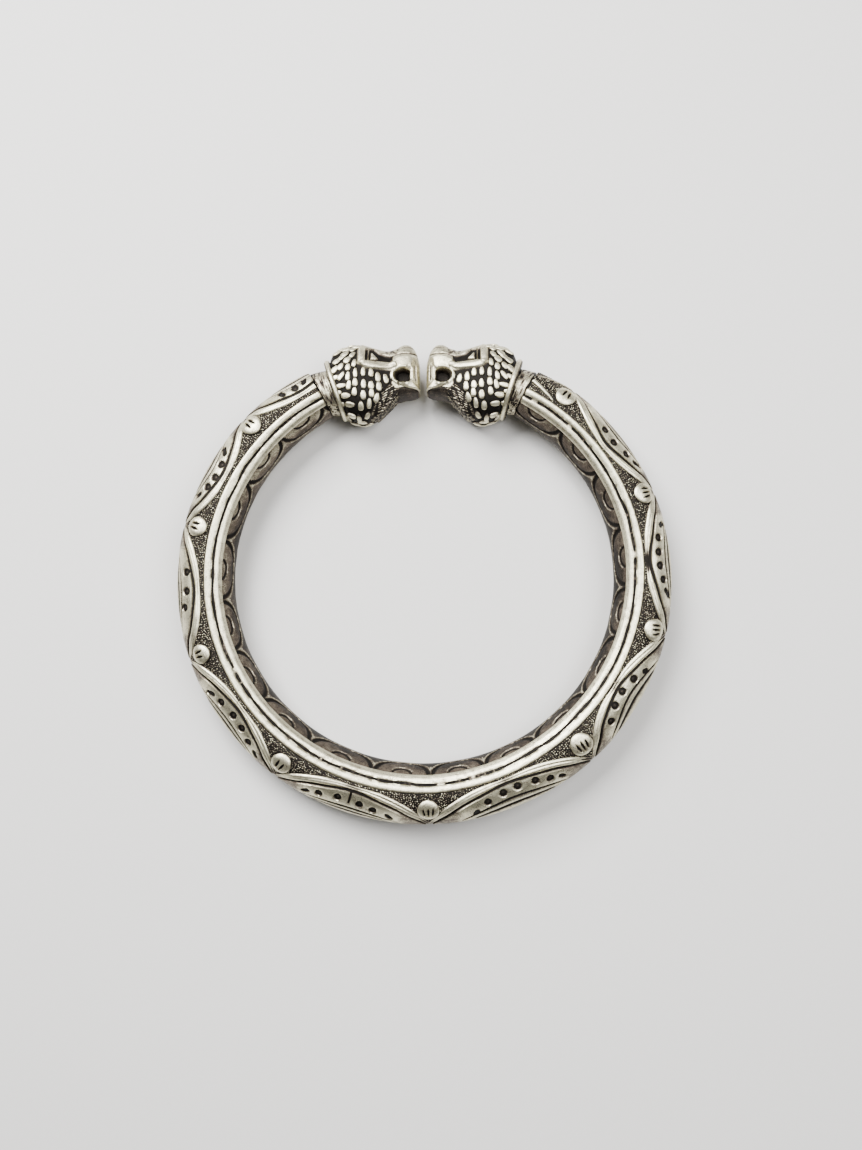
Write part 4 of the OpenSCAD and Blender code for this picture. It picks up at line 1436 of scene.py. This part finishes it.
tuftObject = newObject("tuft", makeTuft())
helpers.append(tuftObject)
setTufts = maneTree()
skinNormal, skinDrawing = headSkin()
collarDrawing = makeCollar()
headPieces = {}
for side, sign in (("right", 1), ("left", -1)):
    place = (sign * ring["gap"] / 2, collarY + shiftY, middleZ)
    inputs = {"Tuft": tuftObject, "Shift": place, "Finish": castSilver, "Seed": tuftShape["seed"]}
    spots = tuftSpots(skinDrawing[0], skinNormal, sign)
    headPieces[side] = [
        placedPiece("head_skin_" + side, skinDrawing, sign, place),
        placedPiece("collar_" + side, collarDrawing, sign, place),
        makePiece("mane_" + side, spots, setTufts, inputs, sharp=75)]
    print("head", side + ":", sum(len(piece.data.polygons) for piece in headPieces[side]), "faces")

for helper in helpers:
    bpy.data.objects.remove(helper)


# What each piece rides on and stands for

standsFor = {"hoop": hoopPieces, "head_right": headPieces["right"], "head_left": headPieces["left"]}
for node, pieces in standsFor.items():
    for piece in pieces:
        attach(piece, "root")
        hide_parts(node)


# Stage: a pale floor, soft light from above, and the camera where the photo was taken from

stage = {
    "floorSize": 6.0,
    "floorColour": (0.6, 0.59, 0.575),
    "fibreShade": 0.97,
    "fibres": (900.0, 4.0),   # per metre, and their detail
    "floorRoughness": 0.9,
    "world": (1.0, 0.98, 0.95),
    "worldStrength": 0.14,
    # place in mm from the ring's middle, width in mm, watts
    "lights": [((-140, 190, 300), 220, 5.2), ((150, 40, 320), 200, 1.8)],
    "lightsAimAt": (0, 0, 0.005),
    "cameraAt": (6.44, -18.24, 183.99),
    "cameraTarget": (1.24, 0.39, 0),
    "sensor": 36,
    "focal": 48.29,
}


def makeFloor():
    half = stage["floorSize"] / 2
    corners = [(-half, -half, 0), (half, -half, 0), (half, half, 0), (-half, half, 0)]
    mesh = newMesh("floor", corners, [(0, 1, 2, 3)])
    finish, tree, shader = newFinish("palePaper")
    place = addNode(tree, "ShaderNodeTexCoord").outputs["Object"]
    colour = stage["floorColour"]
    shades = {6: (*[c * stage["fibreShade"] for c in colour], 1), 7: (*colour, 1)}
    fibres = noise(tree, place, *stage["fibres"])
    mixer = addNode(tree, "ShaderNodeMix", {"Factor": fibres, **shades}, data_type="RGBA")
    feed(tree, shader, {"Base Color": mixer.outputs[2], "Roughness": stage["floorRoughness"]})
    mesh.materials.append(finish)
    floor = newObject("floor", mesh)


def makeLights():
    for k, (place, width, watts) in enumerate(stage["lights"]):
        light = bpy.data.lights.new("softbox" + str(k + 1), "AREA")
        light.energy = watts
        light.size = width * mm
        box = newObject(light.name, light)
        box.location = Vector(place) * mm
        away = box.location - Vector(stage["lightsAimAt"])
        box.rotation_euler = away.to_track_quat("Z", "Y").to_euler()
    world = bpy.data.worlds.new("softRoom")
    world.use_nodes = True
    background = world.node_tree.nodes["Background"]
    feed(world.node_tree, background, {0: (*stage["world"], 1), 1: stage["worldStrength"]})
    bpy.context.scene.world = world


def makeCamera():
    offset = Vector((0, shiftY, middleZ))
    place = Vector(stage["cameraAt"]) + offset
    target = Vector(stage["cameraTarget"]) + offset
    back = (place - target).normalized()
    right = Vector((0, 1, 0)).cross(back).normalized()
    matrix = Matrix((right, back.cross(right), back)).transposed().to_4x4()
    matrix.translation = place * mm
    lens = bpy.data.cameras.new("camera")
    lens.sensor_fit = "HORIZONTAL"
    lens.sensor_width = stage["sensor"]
    lens.lens = stage["focal"]
    lens.clip_start = 0.01
    camera = newObject("camera", lens)
    camera.matrix_world = matrix
    bpy.context.scene.camera = camera


makeFloor()
makeLights()
makeCamera()
print("stage set")
